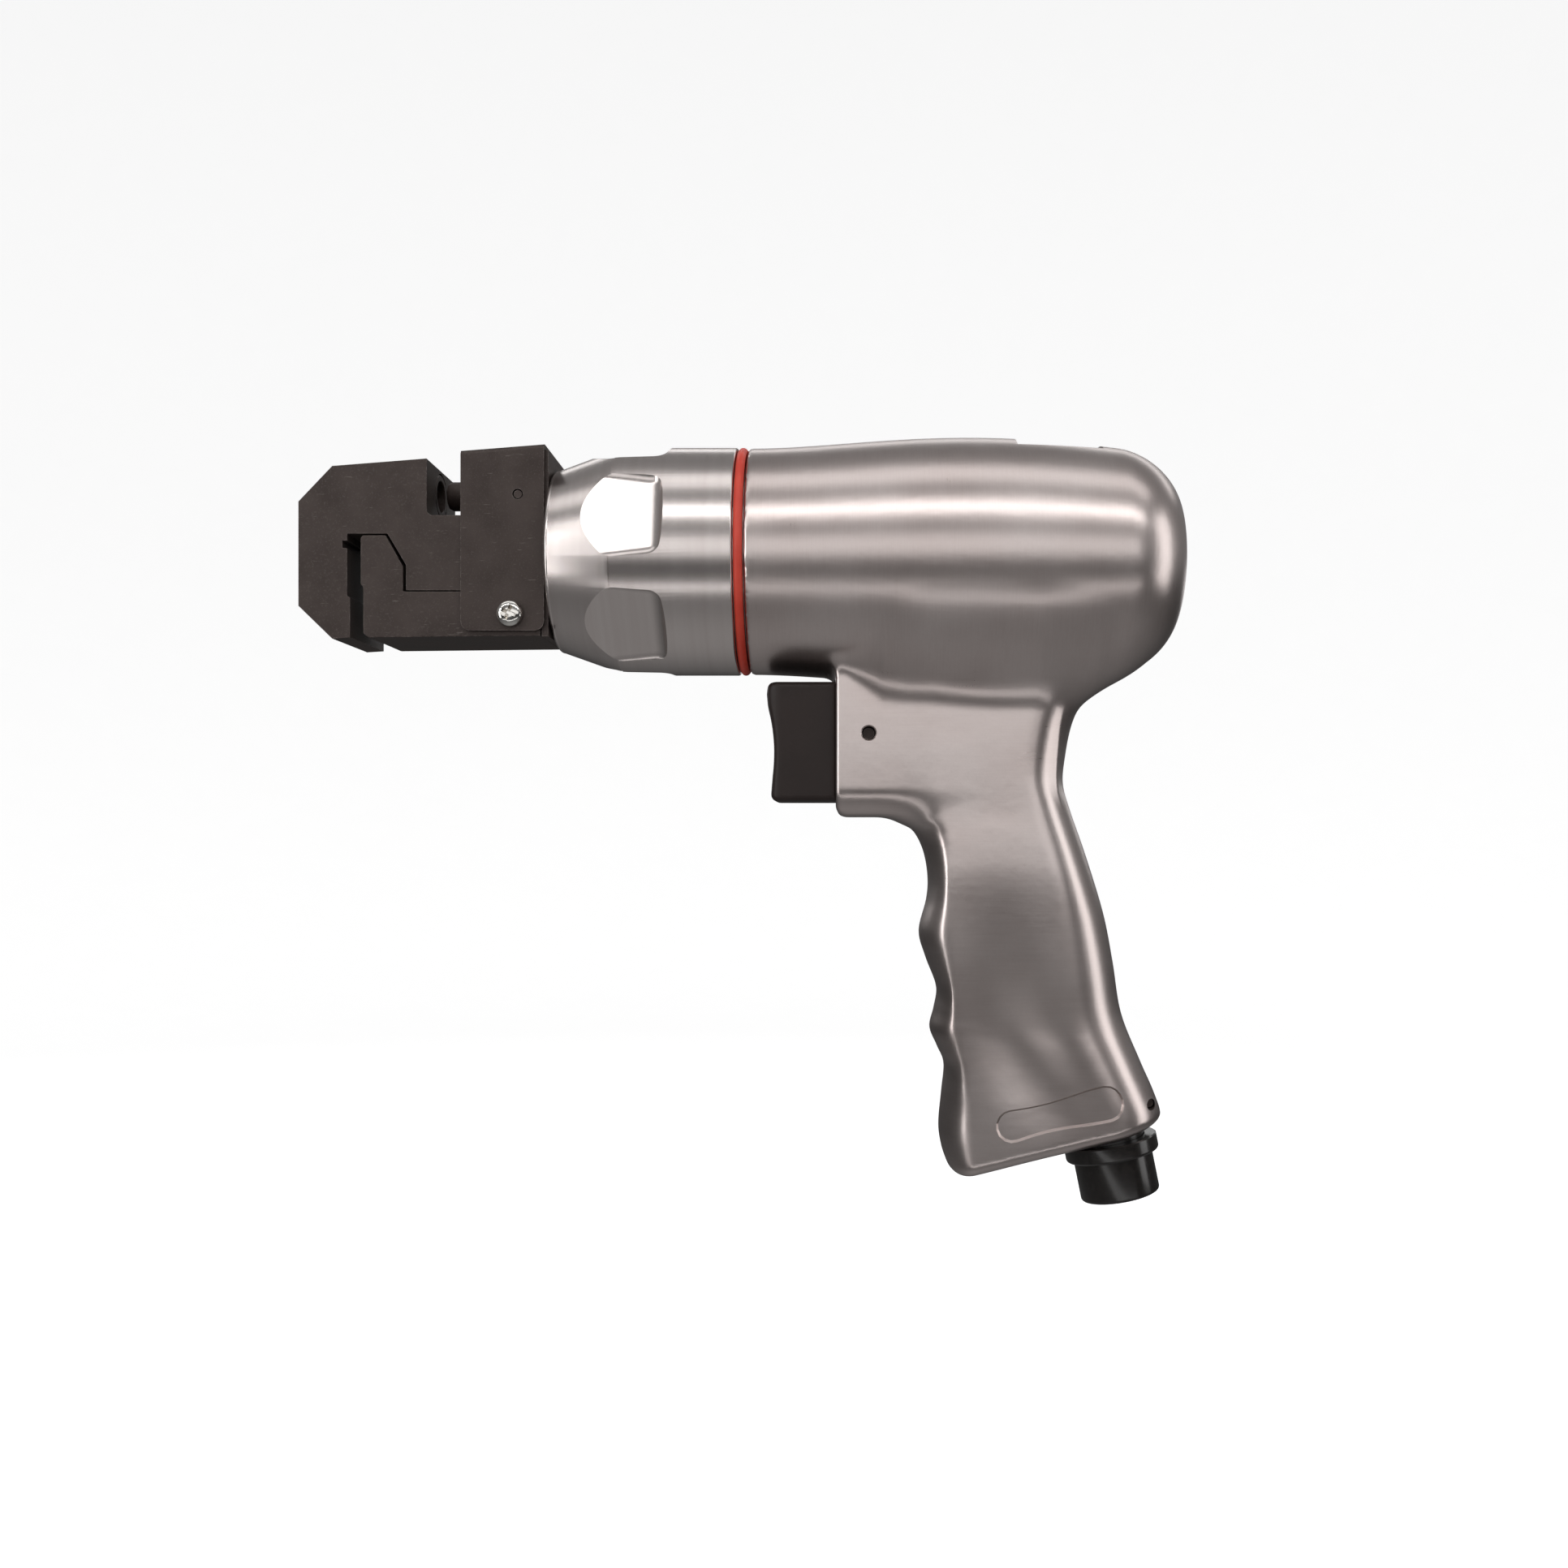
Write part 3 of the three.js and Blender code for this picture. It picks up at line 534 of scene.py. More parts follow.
def black_inlet():
    """Black oxide on turned steel, oily and fairly smooth."""
    finish = Finish("black_inlet", (0.012, 0.01, 0.0095), 0.2, 0.25)
    finish.shader.inputs["Coat Weight"].default_value = 0.4
    finish.shader.inputs["Coat Roughness"].default_value = 0.12
    haze = finish.noise((700, 700, 700), detail=4)
    machined = finish.noise((120, 120, 3000), detail=2)
    finish.colour(finish.blend(finish.spread(haze, 0, 1), (0.009, 0.0075, 0.007), (0.019, 0.016, 0.0145)))
    finish.roughness(finish.spread(haze, 0.21, 0.25))
    finish.bump((haze, 0.004), (machined, 0.003))
    return finish.material


def red_ring():
    """Red moulded ring with a satin surface."""
    finish = Finish("red_ring", (0.55, 0.03, 0.018), 0, 0.38)
    clouds = finish.noise((150, 150, 150), detail=4)
    grain = finish.noise((1600, 300, 300), detail=2)
    finish.colour(finish.blend(finish.spread(clouds, 0, 1), (0.6, 0.045, 0.024), (0.7, 0.065, 0.036)))
    finish.roughness(finish.spread(grain, 0.45, 0.6))
    finish.bump((grain, 0.01))
    return finish.material


def felt():
    """Pressed fibre of the muffler."""
    finish = Finish("felt", (0.45, 0.42, 0.38), 0, 0.95)
    fibre = finish.noise((1800, 1800, 500), detail=5)
    finish.colour(finish.blend(finish.spread(fibre, 0, 1), (0.3, 0.28, 0.25), (0.55, 0.52, 0.47)))
    finish.bump((fibre, 0.15))
    return finish.material


MAKERS = (cast_aluminium, turned_aluminium, black_steel, tool_steel, chrome, brass, spring_steel, rubber,
          trigger_plastic, black_inlet, red_ring, felt)
MATERIALS = {maker.__name__: maker() for maker in MAKERS}
SLOT_OF = {part["node"]: part["material_slot"] for part in frame["record"]["subparts"]}
BODY_OF = {node: body for body, nodes in frame["record"]["behaviour"]["bodies"].items() for node in nodes}


def flatten_faces(thing):
    """Lets the large faces set the shading, so that flats stay flat between rounded edges."""
    step = thing.modifiers.new("flatten", "WEIGHTED_NORMAL")
    step.keep_sharp = True
    settle(thing)


def stand_for(thing, node, angle=SHARP_ANGLE, flat=False):
    """Finishes a piece and puts it in the place of a CAD node, on that node's body."""
    shade(thing, angle)
    if flat:
        flatten_faces(thing)
    thing.data.materials.clear()
    thing.data.materials.append(MATERIALS[SLOT_OF[node]])
    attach(thing, BODY_OF[node])
    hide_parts(node)


# ------------------------------------------------------------------ body housing
BARREL_STATIONS = ((124, 31.1), (145, 32.2), (180, BARREL_MAX_R), (205, 33), (224, 31))
BELLY = np.poly1d(np.polyfit(*zip(*BARREL_STATIONS), 4))
FRONT_ROUND = 1.2
DOME_R = 14
REAR_BULGE_R = 120
HOUSING_FRONT = HOUSING_LOW.x + 31.2
HOUSING_BOTTOM = TRIGGER_LOW.z - 4.5
HOUSING_HALF = 14.5
GRIP_TOP = -14
GRIP_TOP_ROUND = 3
BASE_POINT = (207.4, -163.2)
BASE_TILT = math.radians(13.5)
BASE_ROUND = 3.6
PLAQUE = {"at": (206, -151.5), "half": 13.1, "radius": 3.85, "depth": 0.7}
POCKET = {"front": 194.2, "back": 218, "half": 18, "front_floor": 28.95, "back_floor": 28.8}
SPIGOT = {"front": 114, "inner": 24, "outer": 28}
TRIGGER_POCKET = {"half": 10.6, "back": 151.5, "clearance": 0.6, "round": 1.4}
TRIGGER_PIN_HOLE_R = 1.9
INLET_PIN_HOLE_R = 1.5
PAST_SIDES = 60

# The fillet under the barrel as (x, width), and the one between the grip and the trigger housing.
FILLET_ALONG = ((148, 4), (158, 10.5), (200, 12.5), (216, 9), (232, 3))
HANDLE_BLEND = 5


def height_curve(points):
    """A smooth function of height through (height, value) points given from the top down."""
    line = smooth_line(points)[::-1]
    return lambda z: np.interp(z, line[:, 0], line[:, 1])


# The grip from the top down: its two outlines in side view, the two ridges that bound its side panel,
# and its half widths along Y at the ridges and in the middle of the panel.
FINGER_EDGE = height_curve([
    (-15, 160), (-50, 160), (-66, 160.6), (-71.9, 162.6), (-75, 166.8), (-80.6, 169.6), (-87.7, 170.8),
    (-94, 170.4), (-102.8, 168.3), (-110.2, 170.2), (-118.4, 173.2), (-124.4, 172.5), (-129.7, 171.3),
    (-134.8, 173.3), (-140, 175.3), (-148, 174.6), (-156.5, 173.8), (-162, 174.4), (-167, 176),
    (-176, 180)])
PALM_EDGE = height_curve([
    (-15, 233), (-24, 231), (-30, 226), (-35.2, 219), (-40.2, 213.5), (-45.9, 210.8), (-54.3, 209.1),
    (-61.8, 208.5), (-69.3, 210.5), (-81.4, 214.7), (-97.7, 219.7), (-111.4, 222.4), (-125.5, 224.7),
    (-138.6, 229.9), (-147, 233.6), (-153.6, 235.7), (-158.6, 234.6), (-166, 232.4), (-176, 229)])
FRONT_RIDGE = height_curve([
    (-15, 172), (-60, 173), (-72, 175), (-80, 176.3), (-100, 176.3), (-122, 177.9), (-133, 179.2),
    (-145, 181.5), (-155, 183), (-176, 183.5)])
BACK_RIDGE = height_curve([
    (-15, 199), (-36, 199), (-57, 196), (-68, 197.8), (-87, 202.6), (-111, 205.5), (-127, 207.5),
    (-136, 212), (-145, 216.5), (-155, 220), (-176, 221)])
RIDGE_HALF = height_curve([
    (-15, 15.9), (-50, 15.9), (-68, 16), (-80, 16.4), (-90, 16.6), (-110, 16.3), (-130, 16), (-150, 16.4),
    (-165, 16.8), (-176, 16.9)])
PANEL_HALF = height_curve([
    (-15, 15.9), (-50, 15.9), (-68, 15.95), (-76, 16.2), (-86, 16.45), (-96, 16.2), (-107, 15.6),
    (-118, 14.75), (-128, 14), (-135, 13.8), (-143, 14.1), (-151, 14.8), (-160, 15.6), (-176, 16.4)])

# The power of the curve from ridge to outline (2 is an ellipse), and the millimetres its ratio stands for.
EDGE_POWER = 2
FIELD_SCALE = 9


def barrel_field(x, y, z):
    """A bellied round barrel with a domed rear."""
    across = np.hypot(y, z)
    rear = np.hypot(x - BARREL_REAR + REAR_BULGE_R, across) - REAR_BULGE_R
    side = across - BELLY(np.clip(x, BARREL_FRONT, BARREL_REAR))
    return rounded_meet(rounded_meet(side, rear, DOME_R), BARREL_FRONT - x, FRONT_ROUND)


def grip_field(x, y, z):
    """Rounded edges run from each outline in to its ridge, and the panel between the ridges is dished."""
    front, back = FRONT_RIDGE(z), BACK_RIDGE(z)
    past_front = np.maximum((front - x) / (front - FINGER_EDGE(z)), 0)
    past_back = np.maximum((x - back) / (PALM_EDGE(z) - back), 0)
    across_panel = np.clip((x - front) / (back - front), 0, 1)
    dish = np.sin(np.pi * across_panel) ** 2
    half = RIDGE_HALF(z) + (PANEL_HALF(z) - RIDGE_HALF(z)) * dish
    edge = (past_front + past_back) ** EDGE_POWER + (np.abs(y) / half) ** EDGE_POWER
    grip = rounded_meet((edge ** (1 / EDGE_POWER) - 1) * FIELD_SCALE, z - GRIP_TOP, GRIP_TOP_ROUND)
    base = (BASE_POINT[1] - z) * math.cos(BASE_TILT) + (x - BASE_POINT[0]) * math.sin(BASE_TILT)
    return rounded_meet(grip, base, BASE_ROUND)


def trigger_housing_field(x, y, z):
    """Crisp at the front, broadly rounded along its lower sides, and narrower towards the rear."""
    taper, taper_start, back, top = 0.14, 162, 203, -12
    side_round, toe_round, front_round = 8, 3.4, 1.3
    side = np.abs(y) - HOUSING_HALF + taper * np.maximum(x - taper_start, 0)
    front, bottom = HOUSING_FRONT - x, HOUSING_BOTTOM - z
    sides, toe = rounded_meet(side, bottom, side_round), rounded_meet(front, bottom, toe_round)
    box = rounded_meet(sides, toe, front_round)
    return np.maximum(np.maximum(box, x - back), z - top)


def housing_field(x, y, z):
    """The whole casting, before anything is cut into it."""
    handle = smooth_union(grip_field(x, y, z), trigger_housing_field(x, y, z), HANDLE_BLEND)
    return smooth_union(barrel_field(x, y, z), handle, np.interp(x, *zip(*FILLET_ALONG)))


def stadium(half, radius):
    """The outline of a slot with round ends."""
    return arc((half, 0), radius, -90, 90) + arc((-half, 0), radius, 90, 270)


def plaque_tool():
    """A shallow stadium with sloping walls, whose floor follows the dished side of the grip."""
    middle_x, middle_z = PLAQUE["at"]
    surface, taper = -15, 0.8
    outwards, inwards, behind, reach_x, reach_z = 4, 5, 7, 20, 11
    depth = PLAQUE["depth"] * FIELD_SCALE / -surface
    outline = stadium(PLAQUE["half"], PLAQUE["radius"])
    tool = prism("plaque_tool", outline, surface - outwards, surface + inwards)
    for vertex in tool.data.vertices:
        end = math.copysign(PLAQUE["half"] * MM, vertex.co.x)
        grow = 1 + taper * (surface - vertex.co.y / MM) / PLAQUE["radius"]
        vertex.co.x = end + (vertex.co.x - end) * grow
        vertex.co.z *= grow
    turn = Matrix.Rotation(-BASE_TILT, 4, "Y")
    tool.data.transform(Matrix.Translation((middle_x * MM, 0, middle_z * MM)) @ turn)

    def below_floor(x, y, z):
        region = np.maximum(np.abs(x - middle_x) - reach_x, np.abs(z - middle_z) - reach_z)
        return np.maximum(housing_field(x, y, z) + depth, np.maximum(region, y - surface - behind))

    low = (middle_x - reach_x, surface - 3, middle_z - reach_z)
    high = (middle_x + reach_x, surface + behind, middle_z + reach_z)
    carve(tool, [mesh_of_field("plaque_floor", below_floor, low, high, 0.6)])
    return tool


def top_pocket_tool():
    """A flat seat on top of the barrel, very slightly lower at its rear."""
    above = BARREL_MAX_R + 5
    outline = [(POCKET["front"], POCKET["front_floor"]), (POCKET["back"], POCKET["back_floor"]),
               (POCKET["back"], above), (POCKET["front"], above)]
    return prism("pocket_tool", outline, -POCKET["half"], POCKET["half"])


def pin_hole_tool(at, radius, face):
    """A cross hole with a small chamfer where it meets the two sides."""
    end, mouth, outside, inside = PAST_SIDES, radius + 0.5, 0.2, 0.3
    profile = [(-end, 0), (-end, mouth), (-face - outside, mouth), (-face + inside, radius),
               (face - inside, radius), (face + outside, mouth), (end, mouth), (end, 0)]
    return lathe("pin_hole_tool", profile, 32, turned_along_y(*at))


def housing_tools():
    """The pockets, bores and holes that are cut into the casting."""
    half, clearance = TRIGGER_POCKET["half"], TRIGGER_POCKET["clearance"]
    trigger_pocket = block("trigger_pocket", (HOUSING_FRONT - 12, -half, TRIGGER_LOW.z - clearance),
                           (TRIGGER_POCKET["back"], half, TRIGGER_HIGH.z + clearance))
    soften(trigger_pocket, TRIGGER_POCKET["round"], 4)
    valve = bore("valve_bore", 135, 204, 6.5, 48, Matrix.Translation((0, 0, VALVE_Z)))
    inlet = bore("inlet_bore", -12, 33.3, 12, 64, INLET_PLACE)
    cylinder = bore("main_bore", 105, box_mm("rear_bumper")[1].x + GAP, BORE_R, 128)
    across_foot = turned_along_y(*INLET_PIN_AT)
    return [trigger_pocket, valve, inlet, cylinder, plaque_tool(), top_pocket_tool(),
            pin_hole_tool(PIN_AT, TRIGGER_PIN_HOLE_R, HOUSING_HALF),
            bore("inlet_pin_hole", -PAST_SIDES, PAST_SIDES, INLET_PIN_HOLE_R, 32, across_foot)]


def body_housing():
    """The casting: barrel, trigger housing and grip in one, with a spigot that enters the nose cap."""
    low = (BARREL_FRONT, -BARREL_MAX_R, HOUSING_LOW.z)
    high = (BARREL_REAR, BARREL_MAX_R, BARREL_MAX_R)
    body = mesh_of_field("housing_casting", housing_field, low, high, 0.8)
    front, inner, outer = SPIGOT["front"], SPIGOT["inner"], SPIGOT["outer"]
    back = BARREL_FRONT + 1.5
    spigot = lathe("spigot", [(front, inner), (front, outer), (back, outer), (back, inner)], 128)
    carve(body, [spigot], "UNION")
    carve(body, housing_tools())
    stand_for(body, "body_housing")


# ------------------------------------------------------------------ nose cap and seal ring
FLAT_DISTANCE = 28.4
FLAT_BACK = 100.6
FLAT_HALF = 13.4
FLAT_CORNER = 4.6
FLAT_FILLET = 4.4
FIRST_FLAT = 15.6
FLAT_COUNT = 6
NOSE_SEAT_R = 28.3
TINY = 1e-6


def flat_tool(angle):
    """Mills one wrench flat: rounded corners in plan at its rear and a fillet up to the full radius."""
    clear = 8
    how = {"segments": 14, "profile": 0.5, "affect": "EDGES"}
    tool = block("flat_tool", (NOSE_LOW.x - clear, -FLAT_HALF, FLAT_DISTANCE),
                 (FLAT_BACK, FLAT_HALF, NOSE_HIGH.z + clear))
    work = bmesh.new()
    work.from_mesh(tool.data)
    rear = FLAT_BACK * MM - TINY
    upright = [e for e in work.edges if all(v.co.x > rear for v in e.verts)
               and abs(e.verts[0].co.y - e.verts[1].co.y) < TINY]
    bmesh.ops.bevel(work, geom=upright, offset=FLAT_CORNER * MM, **how)
    floor = FLAT_DISTANCE * MM + TINY
    corner_start = rear - (FLAT_CORNER + 0.01) * MM
    rim = [e for e in work.edges if all(v.co.z < floor and v.co.x > corner_start for v in e.verts)
           and len(e.link_faces) == 2 and e.calc_face_angle() > 1]
    bmesh.ops.bevel(work, geom=rim, offset=FLAT_FILLET * MM, **how)
    bmesh.ops.recalc_face_normals(work, faces=work.faces)
    work.to_mesh(tool.data)
    work.free()
    tool.data.transform(Matrix.Rotation(math.radians(angle), 4, "X"))
    return tool


def nose_cap():
    """A turned cap: a cone, a small step, a cylinder with six flats, and stepped bores."""
    front, back, outer = NOSE_LOW.x, NOSE_HIGH.x, NOSE_HIGH.z
    cone_end, lip, mouth, neck, wall, seat = 86, 24.1, 20.4, 22.9, 25.5, NOSE_SEAT_R
    profile = [(front, mouth), (front, lip), *arc((front + 1, lip), 1, 180, 90, 12)[1:],
               (cone_end - 1, outer - 0.55), (cone_end - 0.2, outer - 0.35), (cone_end, outer - 0.42),
               (cone_end + 0.2, outer - 0.12), (cone_end + 1.5, outer), (back - 0.9, outer),
               *arc((back - 0.6, outer - 0.6), 0.6, 90, 0, 12), (back, seat),
               (106.7, seat), (106.7, wall), (76.2, wall), (76.2, neck), (71.8, neck), (71.8, mouth)]
    cap = lathe("nose_shell", profile, 192)
    carve(cap, [flat_tool(90 - FIRST_FLAT + i * 360 / FLAT_COUNT) for i in range(FLAT_COUNT)])
    stand_for(cap, "nose_cap", math.radians(9))


def seal_ring():
    """A red band with a rounded crown."""
    front, back, outer = RING_LOW.x, RING_HIGH.x, RING_HIGH.z
    crown_r, shoulder = 1.2, outer - 0.8
    crown = arc(((front + back) / 2, outer - crown_r), crown_r, 160, 20, 8)
    profile = [(front, NOSE_SEAT_R), (front, shoulder), *crown, (back, shoulder), (back, NOSE_SEAT_R)]
    stand_for(lathe("red_band", profile, 192), "seal_ring", math.radians(60))


# ------------------------------------------------------------------ punch head
def refined(node, edge, name):
    """A copy of a CAD node's own shape with its edges broken by a small radius."""
    same_point, same_plane = 0.002 * MM, math.radians(0.5)
    mesh = frame["nodes"][node].data.copy()
    work = bmesh.new()
    work.from_mesh(mesh)
    bmesh.ops.remove_doubles(work, verts=work.verts, dist=same_point)
    bmesh.ops.dissolve_limit(work, angle_limit=same_plane, verts=work.verts, edges=work.edges)
    work.to_mesh(mesh)
    work.free()
    points = [vertex.co / MM for vertex in mesh.vertices]
    thing = object_from(name, points, [polygon.vertices for polygon in mesh.polygons])
    soften(thing, edge)
    stand_for(thing, node, flat=True)


def cover_plate():
    """Folded sheet over the head: rounded folds on top, rounded corners below, two holes through."""
    front, back, half = COVER_LOW.x, COVER_HIGH.x, COVER_HIGH.y
    bottom, rise, sheet, corner = COVER_LOW.z, 0.0787, 1.2, 2.6
    screw_hole_r, pin_hole_r, past_sides = 2.3, 1.4, 30
    top_back = COVER_HIGH.z
    top_front = top_back - rise * (back - front)
    side = [(front, top_front), *arc((front + corner, bottom + corner), corner, 180, 270, 6),
            *arc((back - corner, bottom + corner), corner, 270, 360, 6), (back, top_back)]
    plate = prism("folded_cover", side, -half, half)
    inside = [(front - 2, bottom - 2), (back + 2, bottom - 2),
              (back + 2, top_back - sheet + 2 * rise), (front - 2, top_front - sheet - 2 * rise)]
    channel = prism("cover_channel", inside, -half + sheet, half - sheet)
    for body, radius in ((plate, 1.4), (channel, 0.4)):
        round_folds(body, radius)
    holes = [bore("hole", -past_sides, past_sides, radius, 32, turned_along_y(*at))
             for at, radius in ((SCREW_AT, screw_hole_r), (cross_place("cover_pin_near"), pin_hole_r))]
    carve(plate, [channel, *holes])
    soften(plate, 0.18)
    stand_for(plate, "cover_plate", flat=True)


def round_folds(thing, radius):
    """Rounds the two upper edges that run along X."""
    work = bmesh.new()
    work.from_mesh(thing.data)
    middle = sum(v.co.z for v in work.verts) / len(work.verts)
    folds = [e for e in work.edges if all(v.co.z > middle for v in e.verts)
             and abs(e.verts[0].co.y - e.verts[1].co.y) < TINY
             and abs(e.verts[0].co.x - e.verts[1].co.x) > 5 * MM]
    bmesh.ops.bevel(work, geom=folds, offset=radius * MM, segments=6, profile=0.5, affect="EDGES")
    bmesh.ops.recalc_face_normals(work, faces=work.faces)
    work.to_mesh(thing.data)
    work.free()


def cover_screw():
    """A pan head with a cross recess, and a threaded shank."""
    face, tip = -SCREW_LOW.y, -SCREW_HIGH.y
    seat = face - 2.2
    head_r = (SCREW_HIGH.x - SCREW_LOW.x) / 2
    crest, root, pitch = 2.0, 1.68, 0.7
    dome = [(face - 0.02, 1.2), (face - 0.12, 2.0), (face - 0.4, 2.75), (face - 0.95, 3.35),
            (face - 1.5, head_r)]
    threads = []
    for i in range(int((seat - 1 - tip) / pitch)):
        x = seat - 1 - i * pitch
        threads += [(x, crest), (x - pitch / 2, root)]
    profile = [(face, 0), *dome, (seat, head_r), (seat, crest), *threads,
               (tip + 0.3, 1.6), (tip, 1.3), (tip, 0)]
    screw = lathe("pan_screw", profile[::-1], 48, turned_along_y(*SCREW_AT))
    arms = []
    reach, half = 2.3, 0.52
    for turn in (22, 112):
        arm = prism("recess_arm", [(-reach, -half), (reach, -half), (reach, half), (-reach, half)], 0, 3)
        for vertex in arm.data.vertices:
            if vertex.co.y > MM:
                vertex.co.x *= 0.45
                vertex.co.z *= 0.75
        arm.data.transform(Matrix.Translation((SCREW_AT[0] * MM, -(face + 0.5) * MM, SCREW_AT[1] * MM))
                           @ Matrix.Rotation(math.radians(turn), 4, "Y"))
        arms.append(arm)
    carve(screw, arms)
    soften(screw, 0.06, 1, 50)
    stand_for(screw, "cover_screw")


def punch():
    """A round punch with a relieved tip and a headed end."""
    tip, end, shoulder = PUNCH_LOW.x, PUNCH_HIGH.x, 58.8
    shank_r, head_r, edge = 4, 4.9, 4.6
    profile = [(tip, 0), (tip, shank_r - 0.9), (tip + 0.15, shank_r - 0.6), (tip + 1.2, shank_r),
               (shoulder, shank_r), (shoulder, edge), (shoulder + 0.3, head_r), (end - 0.3, head_r),
               (end, edge), (end, 0)]
    stand_for(lathe("round_punch", profile, 96, Matrix.Translation((0, 0, PUNCH_Z))), "punch")


def die_button():
    """A ring with a sharp bore, wider behind its land so that slugs fall through."""
    front, face = DIE_LOW.x, DIE_HIGH.x
    outer, land, relief = 6, 4.3, 4.6
    profile = [(front, relief), (front, outer), (face - 0.3, outer), (face, 5.7), (face, 4.5),
               (face - 0.2, land), (face - 3, land), (face - 3.2, relief)]
    stand_for(lathe("die_insert", profile, 96, Matrix.Translation((0, 0, PUNCH_Z))), "die_button")


# ------------------------------------------------------------------ trigger
def trigger_outline():
    """Concave finger face on the left, square back on the right."""
    top, bottom, back = TRIGGER_HIGH.z, TRIGGER_LOW.z, HOUSING_FRONT + 0.7
    face = smooth_line([(125.55, top - 3), (126.1, top - 6.4), (127.1, top - 9.8), (127.8, top - 13.5),
                        (128.2, top - 18), (128.1, top - 22.5), (127.75, top - 26),
                        (127.35, bottom + 2.6)], 5)
    upper = arc((TRIGGER_LOW.x + 2.1, top - 1.9), 1.9, 90, 165, 5)
    lower = arc((129.3, bottom + 2), 2, 190, 270, 5)
    return np.array([(back, top), *upper, *face, *lower, (back, bottom)])


TRIGGER_OUTLINE = trigger_outline()


def trigger_field(x, y, z):
    """The outline between two rounded sides, with a finger face that falls back towards them."""
    side_round, face_round, fall, face_x = 1.6, 2.2, 3.2, 128.3
    edge = outline_distance(x, z, TRIGGER_OUTLINE)
    half = TRIGGER_HIGH.y
    pad = rounded_meet(edge, np.abs(y) - half, side_round)
    return rounded_meet(pad, face_x - x + (np.abs(y) / half) ** 4 * fall - fall, face_round)


def trigger():
    """The finger pad with its guide boss; the trigger pin passes through the slot."""
    low = (TRIGGER_LOW.x, -TRIGGER_HIGH.y, TRIGGER_LOW.z)
    high = (HOUSING_FRONT + 1, TRIGGER_HIGH.y, TRIGGER_HIGH.z)
    pad = mesh_of_field("finger_trigger", trigger_field, low, high, 0.4)
    front, back, boss_r, slot_half = 140, TRIGGER_HIGH.x, 6.2, 1.9
    profile = [(front, 0), (front, boss_r), (back - 0.5, boss_r), (back, boss_r - 0.5), (back, 0)]
    boss = lathe("trigger_boss", profile, 64, Matrix.Translation((0, 0, VALVE_Z)))
    carve(pad, [boss], "UNION")
    carve(pad, [block("pin_slot", (147.3, -20, VALVE_Z - slot_half), (156.1, 20, VALVE_Z + slot_half))])
    stand_for(pad, "trigger")


# ------------------------------------------------------------------ air inlet
def inlet_bushing():
    """From the hose end inwards: the threaded socket, a neck, a groove for the O-ring, and the air hole."""
    outer, thread_r, neck, land, groove, air = 11, 6.6, 9.6, 11.7, 10.5, 4.5
    profile = [(0.4, thread_r + 0.6), (0, thread_r + 1.2), (0, outer - 1),
               *arc((0.9, outer - 0.9), 0.9, 180, 90, 5),
               (11.1, outer), (11.1, neck), (27.2, neck), (27.2, land), (28.9, land), (28.9, groove),
               (31.1, groove), (31.1, land), (33, land), (33, air), (18, air), (18, thread_r - 0.3)]
    pitch, turns, last = 1.41, 11, 17.2
    threads = []
    for i in range(turns):
        x = last - i * pitch
        threads += [(x, thread_r - 0.25), (x - pitch / 2, thread_r + 0.35)]
    stand_for(lathe("inlet_fitting", profile + threads, 96, INLET_PLACE), "inlet_bushing")


def exhaust_deflector():
    """A plain collar with a rounded lower edge."""
    inner, outer, low, high = 9.9, 13, 11.4, 15.9
    profile = [(low, inner), (low, outer - 1), *arc((low + 0.9, outer - 0.9), 0.9, 180, 90, 6),
               (high - 0.3, outer), (high, outer - 0.3), (high, inner)]
    stand_for(lathe("deflector_collar", profile, 128, INLET_PLACE), "exhaust_deflector")


# ------------------------------------------------------------------ hidden pieces
def spring(node, name, mean, wire, turns, centre_z=0):
    """A coil spring as a swept round wire."""
    low, high = box_mm(node)
    steps, sides = turns * 28, 10
    along = np.array([1.0, 0, 0])
    points = []
    for i in range(steps + 1):
        angle = 2 * math.pi * turns * i / steps
        centre = np.array([low.x + wire + (high.x - low.x - 2 * wire) * i / steps,
                           mean * math.cos(angle), centre_z + mean * math.sin(angle)])
        outward = np.array([0, math.cos(angle), math.sin(angle)])
        for j in range(sides):
            turn = 2 * math.pi * j / sides
            points.append(centre + wire * (math.cos(turn) * outward + math.sin(turn) * along))
    faces = []
    for i in range(steps):
        for j in range(sides):
            k = (j + 1) % sides
            faces.append([i * sides + j, i * sides + k, (i + 1) * sides + k, (i + 1) * sides + j])
    faces.append(list(range(sides))[::-1])
    faces.append([steps * sides + j for j in range(sides)])
    thing = object_from(name, points, faces)
    face_outwards(thing)
    stand_for(thing, node, math.radians(50))
    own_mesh(thing)


def hidden_pieces():
    """Springs and softened edges for the inside; pieces that keep their CAD shape get their material."""
    spring("piston_return_spring", "piston_coil", 14, 1.5, 7)
    spring("ram_return_spring", "ram_coil", 3.6, 0.6, 5)
    spring("valve_spring", "valve_coil", 4.2, 0.5, 5, VALVE_Z)
    edges = {"pusher_plate": 0.3, "ram": 0.4, "thrust_cage": 0.3, "piston": 0.3, "piston_nut": 0.4,
             "wedge_rod": 0.3, "front_bulkhead": 0.3}
    for node, edge in edges.items():
        refined(node, edge, node + "_finished")
    for node, thing in frame["nodes"].items():
        for material_slot in thing.material_slots:
            material_slot.material = MATERIALS[SLOT_OF[node]]


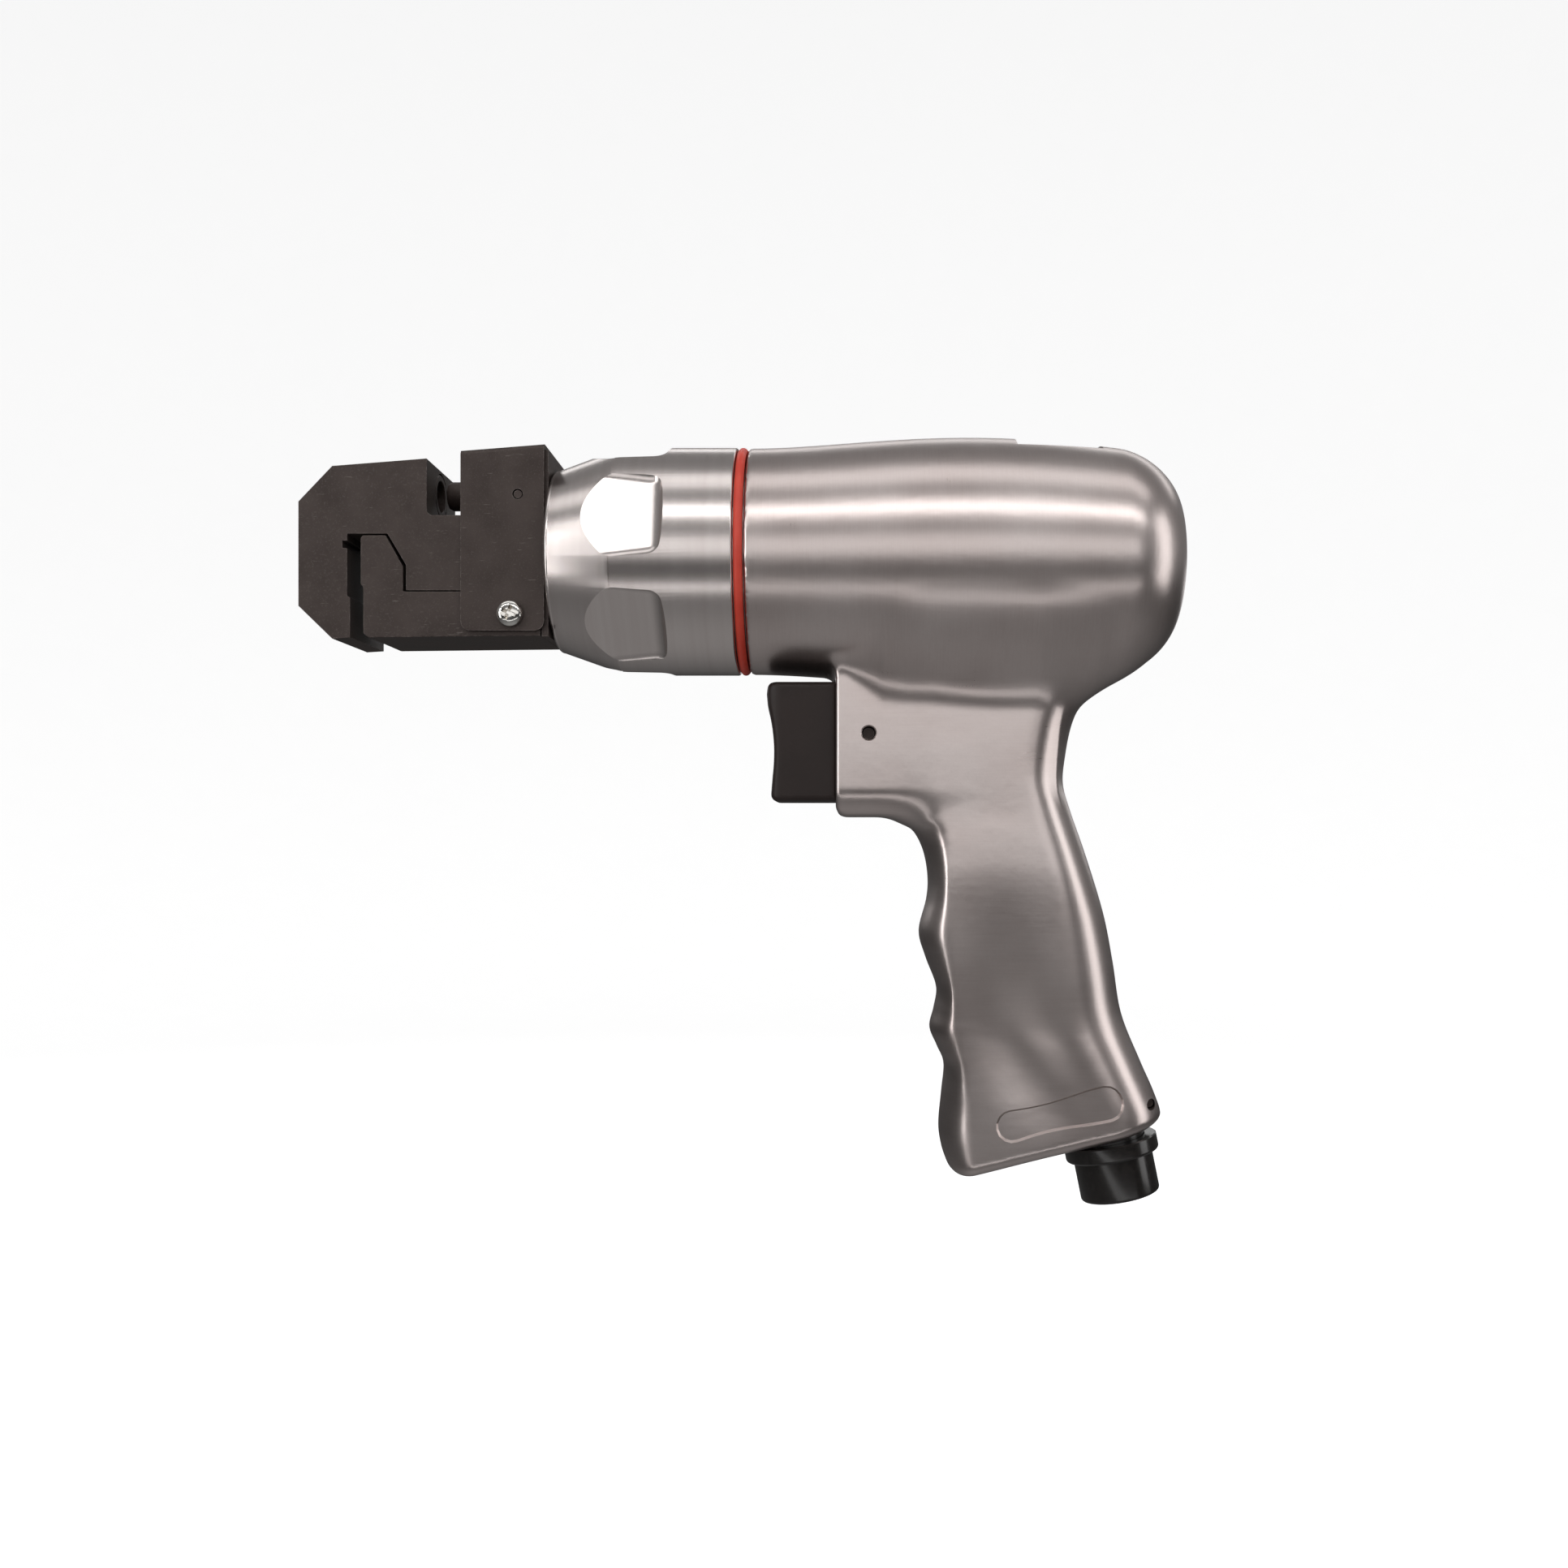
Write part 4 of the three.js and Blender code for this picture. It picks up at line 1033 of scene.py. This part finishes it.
# ------------------------------------------------------------------ stage
def studio():
    """A pale round sweep behind the tool, a dim surround and long soft lamps."""
    floor_z, wall_r, bend, top = -0.30, 2.2, 0.8, 3.0
    profile = [(0, floor_z), (wall_r - bend, floor_z)]
    profile += arc((wall_r - bend, floor_z + bend), bend, -90, 0, 12)[1:]
    profile += [(wall_r, top), (0, top)]
    turned_up = Matrix.Rotation(math.radians(-90), 4, "Y")
    sweep = lathe("studio_sweep", [(z / MM, r / MM) for r, z in profile], 96, turned_up)
    shade(sweep, math.radians(60))
    paper = Finish("studio_paper", (0.8, 0.8, 0.8), 0, 0.9)
    fibres = paper.noise((30, 30, 30), detail=3)
    paper.colour(paper.blend(paper.spread(fibres, 0, 1), (0.79, 0.79, 0.79), (0.81, 0.81, 0.81)))
    paper.shader.inputs["Emission Color"].default_value = (1, 1, 1, 1)
    paper.shader.inputs["Emission Strength"].default_value = 0.75
    sweep.data.materials.append(paper.material)
    sweep.visible_glossy = False
    sweep.visible_diffuse = False
    sweep.visible_shadow = False
    surround()

    aim = Vector((0.13, 0, -0.03))
    # Name, elevation and side in degrees, distance, (width, height) in metres, and watts.
    lamps = (
        ("top_strip", 78, 0, 0.9, (1.8, 0.3), 2.0),
        ("upper_strip", 43, 0, 0.9, (1.8, 0.13), 3.35),
        ("level_strip", 8, 0, 0.95, (1.8, 0.32), 2.0),
        ("lower_strip", -32, 0, 0.9, (1.8, 0.1), 0.9),
        ("left_panel", 5, -60, 1.1, (0.3, 0.8), 2.8),
        ("right_panel", 8, 80, 1.1, (0.4, 0.9), 2.0),
        ("back_upper_strip", 43, 180, 0.9, (1.8, 0.13), 1.3),
        ("back_level_strip", 8, 180, 0.95, (1.8, 0.11), 0.5),
    )
    for name, elevation, side, distance, (width, height), watts in lamps:
        add_lamp(name, aim, elevation, side, distance, width, height, watts)


def surround():
    """Soft light from all round, by height: darkest just below the horizon, brighter above and beneath."""
    world = bpy.data.worlds.new("studio")
    world.use_nodes = True
    nodes, links = world.node_tree.nodes, world.node_tree.links
    direction = nodes.new("ShaderNodeTexCoord")
    split = nodes.new("ShaderNodeSeparateXYZ")
    height = nodes.new("ShaderNodeMapRange")
    ramp = nodes.new("ShaderNodeValToRGB")
    links.new(direction.outputs["Generated"], split.inputs[0])
    links.new(split.outputs["Z"], height.inputs["Value"])
    height.inputs["From Min"].default_value = -1
    links.new(height.outputs["Result"], ramp.inputs["Fac"])
    links.new(ramp.outputs["Color"], nodes["Background"].inputs["Color"])
    stops = ((0, 0.3), (0.12, 0.19), (0.3, 0.1), (0.4, 0.05),
             (0.48, 0.06), (0.56, 0.18), (0.7, 0.21), (1, 0.25))
    while len(ramp.color_ramp.elements) < len(stops):
        ramp.color_ramp.elements.new(0.5)
    for element, (at, grey) in zip(ramp.color_ramp.elements, stops):
        element.position = at
        element.color = (grey, grey, grey, 1)
    bpy.context.scene.world = world


def add_lamp(name, aim, elevation, side, distance, width, height, watts):
    """An area lamp seen from the tool at an elevation, and to the side of the camera's direction."""
    lift, turn = math.radians(elevation), math.radians(side)
    away = Vector((math.sin(turn) * math.cos(lift), -math.cos(turn) * math.cos(lift), math.sin(lift)))
    data = bpy.data.lights.new(name, "AREA")
    data.shape = "RECTANGLE"
    data.size, data.size_y, data.energy = width, height, watts
    lamp = new_object(name, data)
    lamp.location = aim + away * distance
    lamp.visible_camera = False
    lamp.rotation_euler = (-away).to_track_quat("-Z", "Y").to_euler()


def camera():
    """The camera stands level at the tool's side; a small shift frames the picture."""
    data = bpy.data.cameras.new("camera")
    data.sensor_width = 36
    data.lens = 35.26
    data.shift_x = -0.0435
    data.shift_y = 0.0383
    data.clip_start = 0.01
    thing = new_object("camera", data)
    thing.location = (0.1497, -0.430, -0.0786)
    thing.rotation_euler = (math.radians(90), 0, 0)
    bpy.context.scene.camera = thing


camera()
studio()
body_housing()
nose_cap()
seal_ring()
refined("punch_frame", 0.35, "punch_head_block")
refined("flange_jaw", 0.35, "sliding_jaw")
refined("cover_screw_nut", 0.3, "hex_nut")
cover_plate()
cover_screw()
punch()
die_button()
trigger()
inlet_bushing()
exhaust_deflector()
hidden_pieces()
bpy.context.scene.view_settings.view_transform = "Standard"
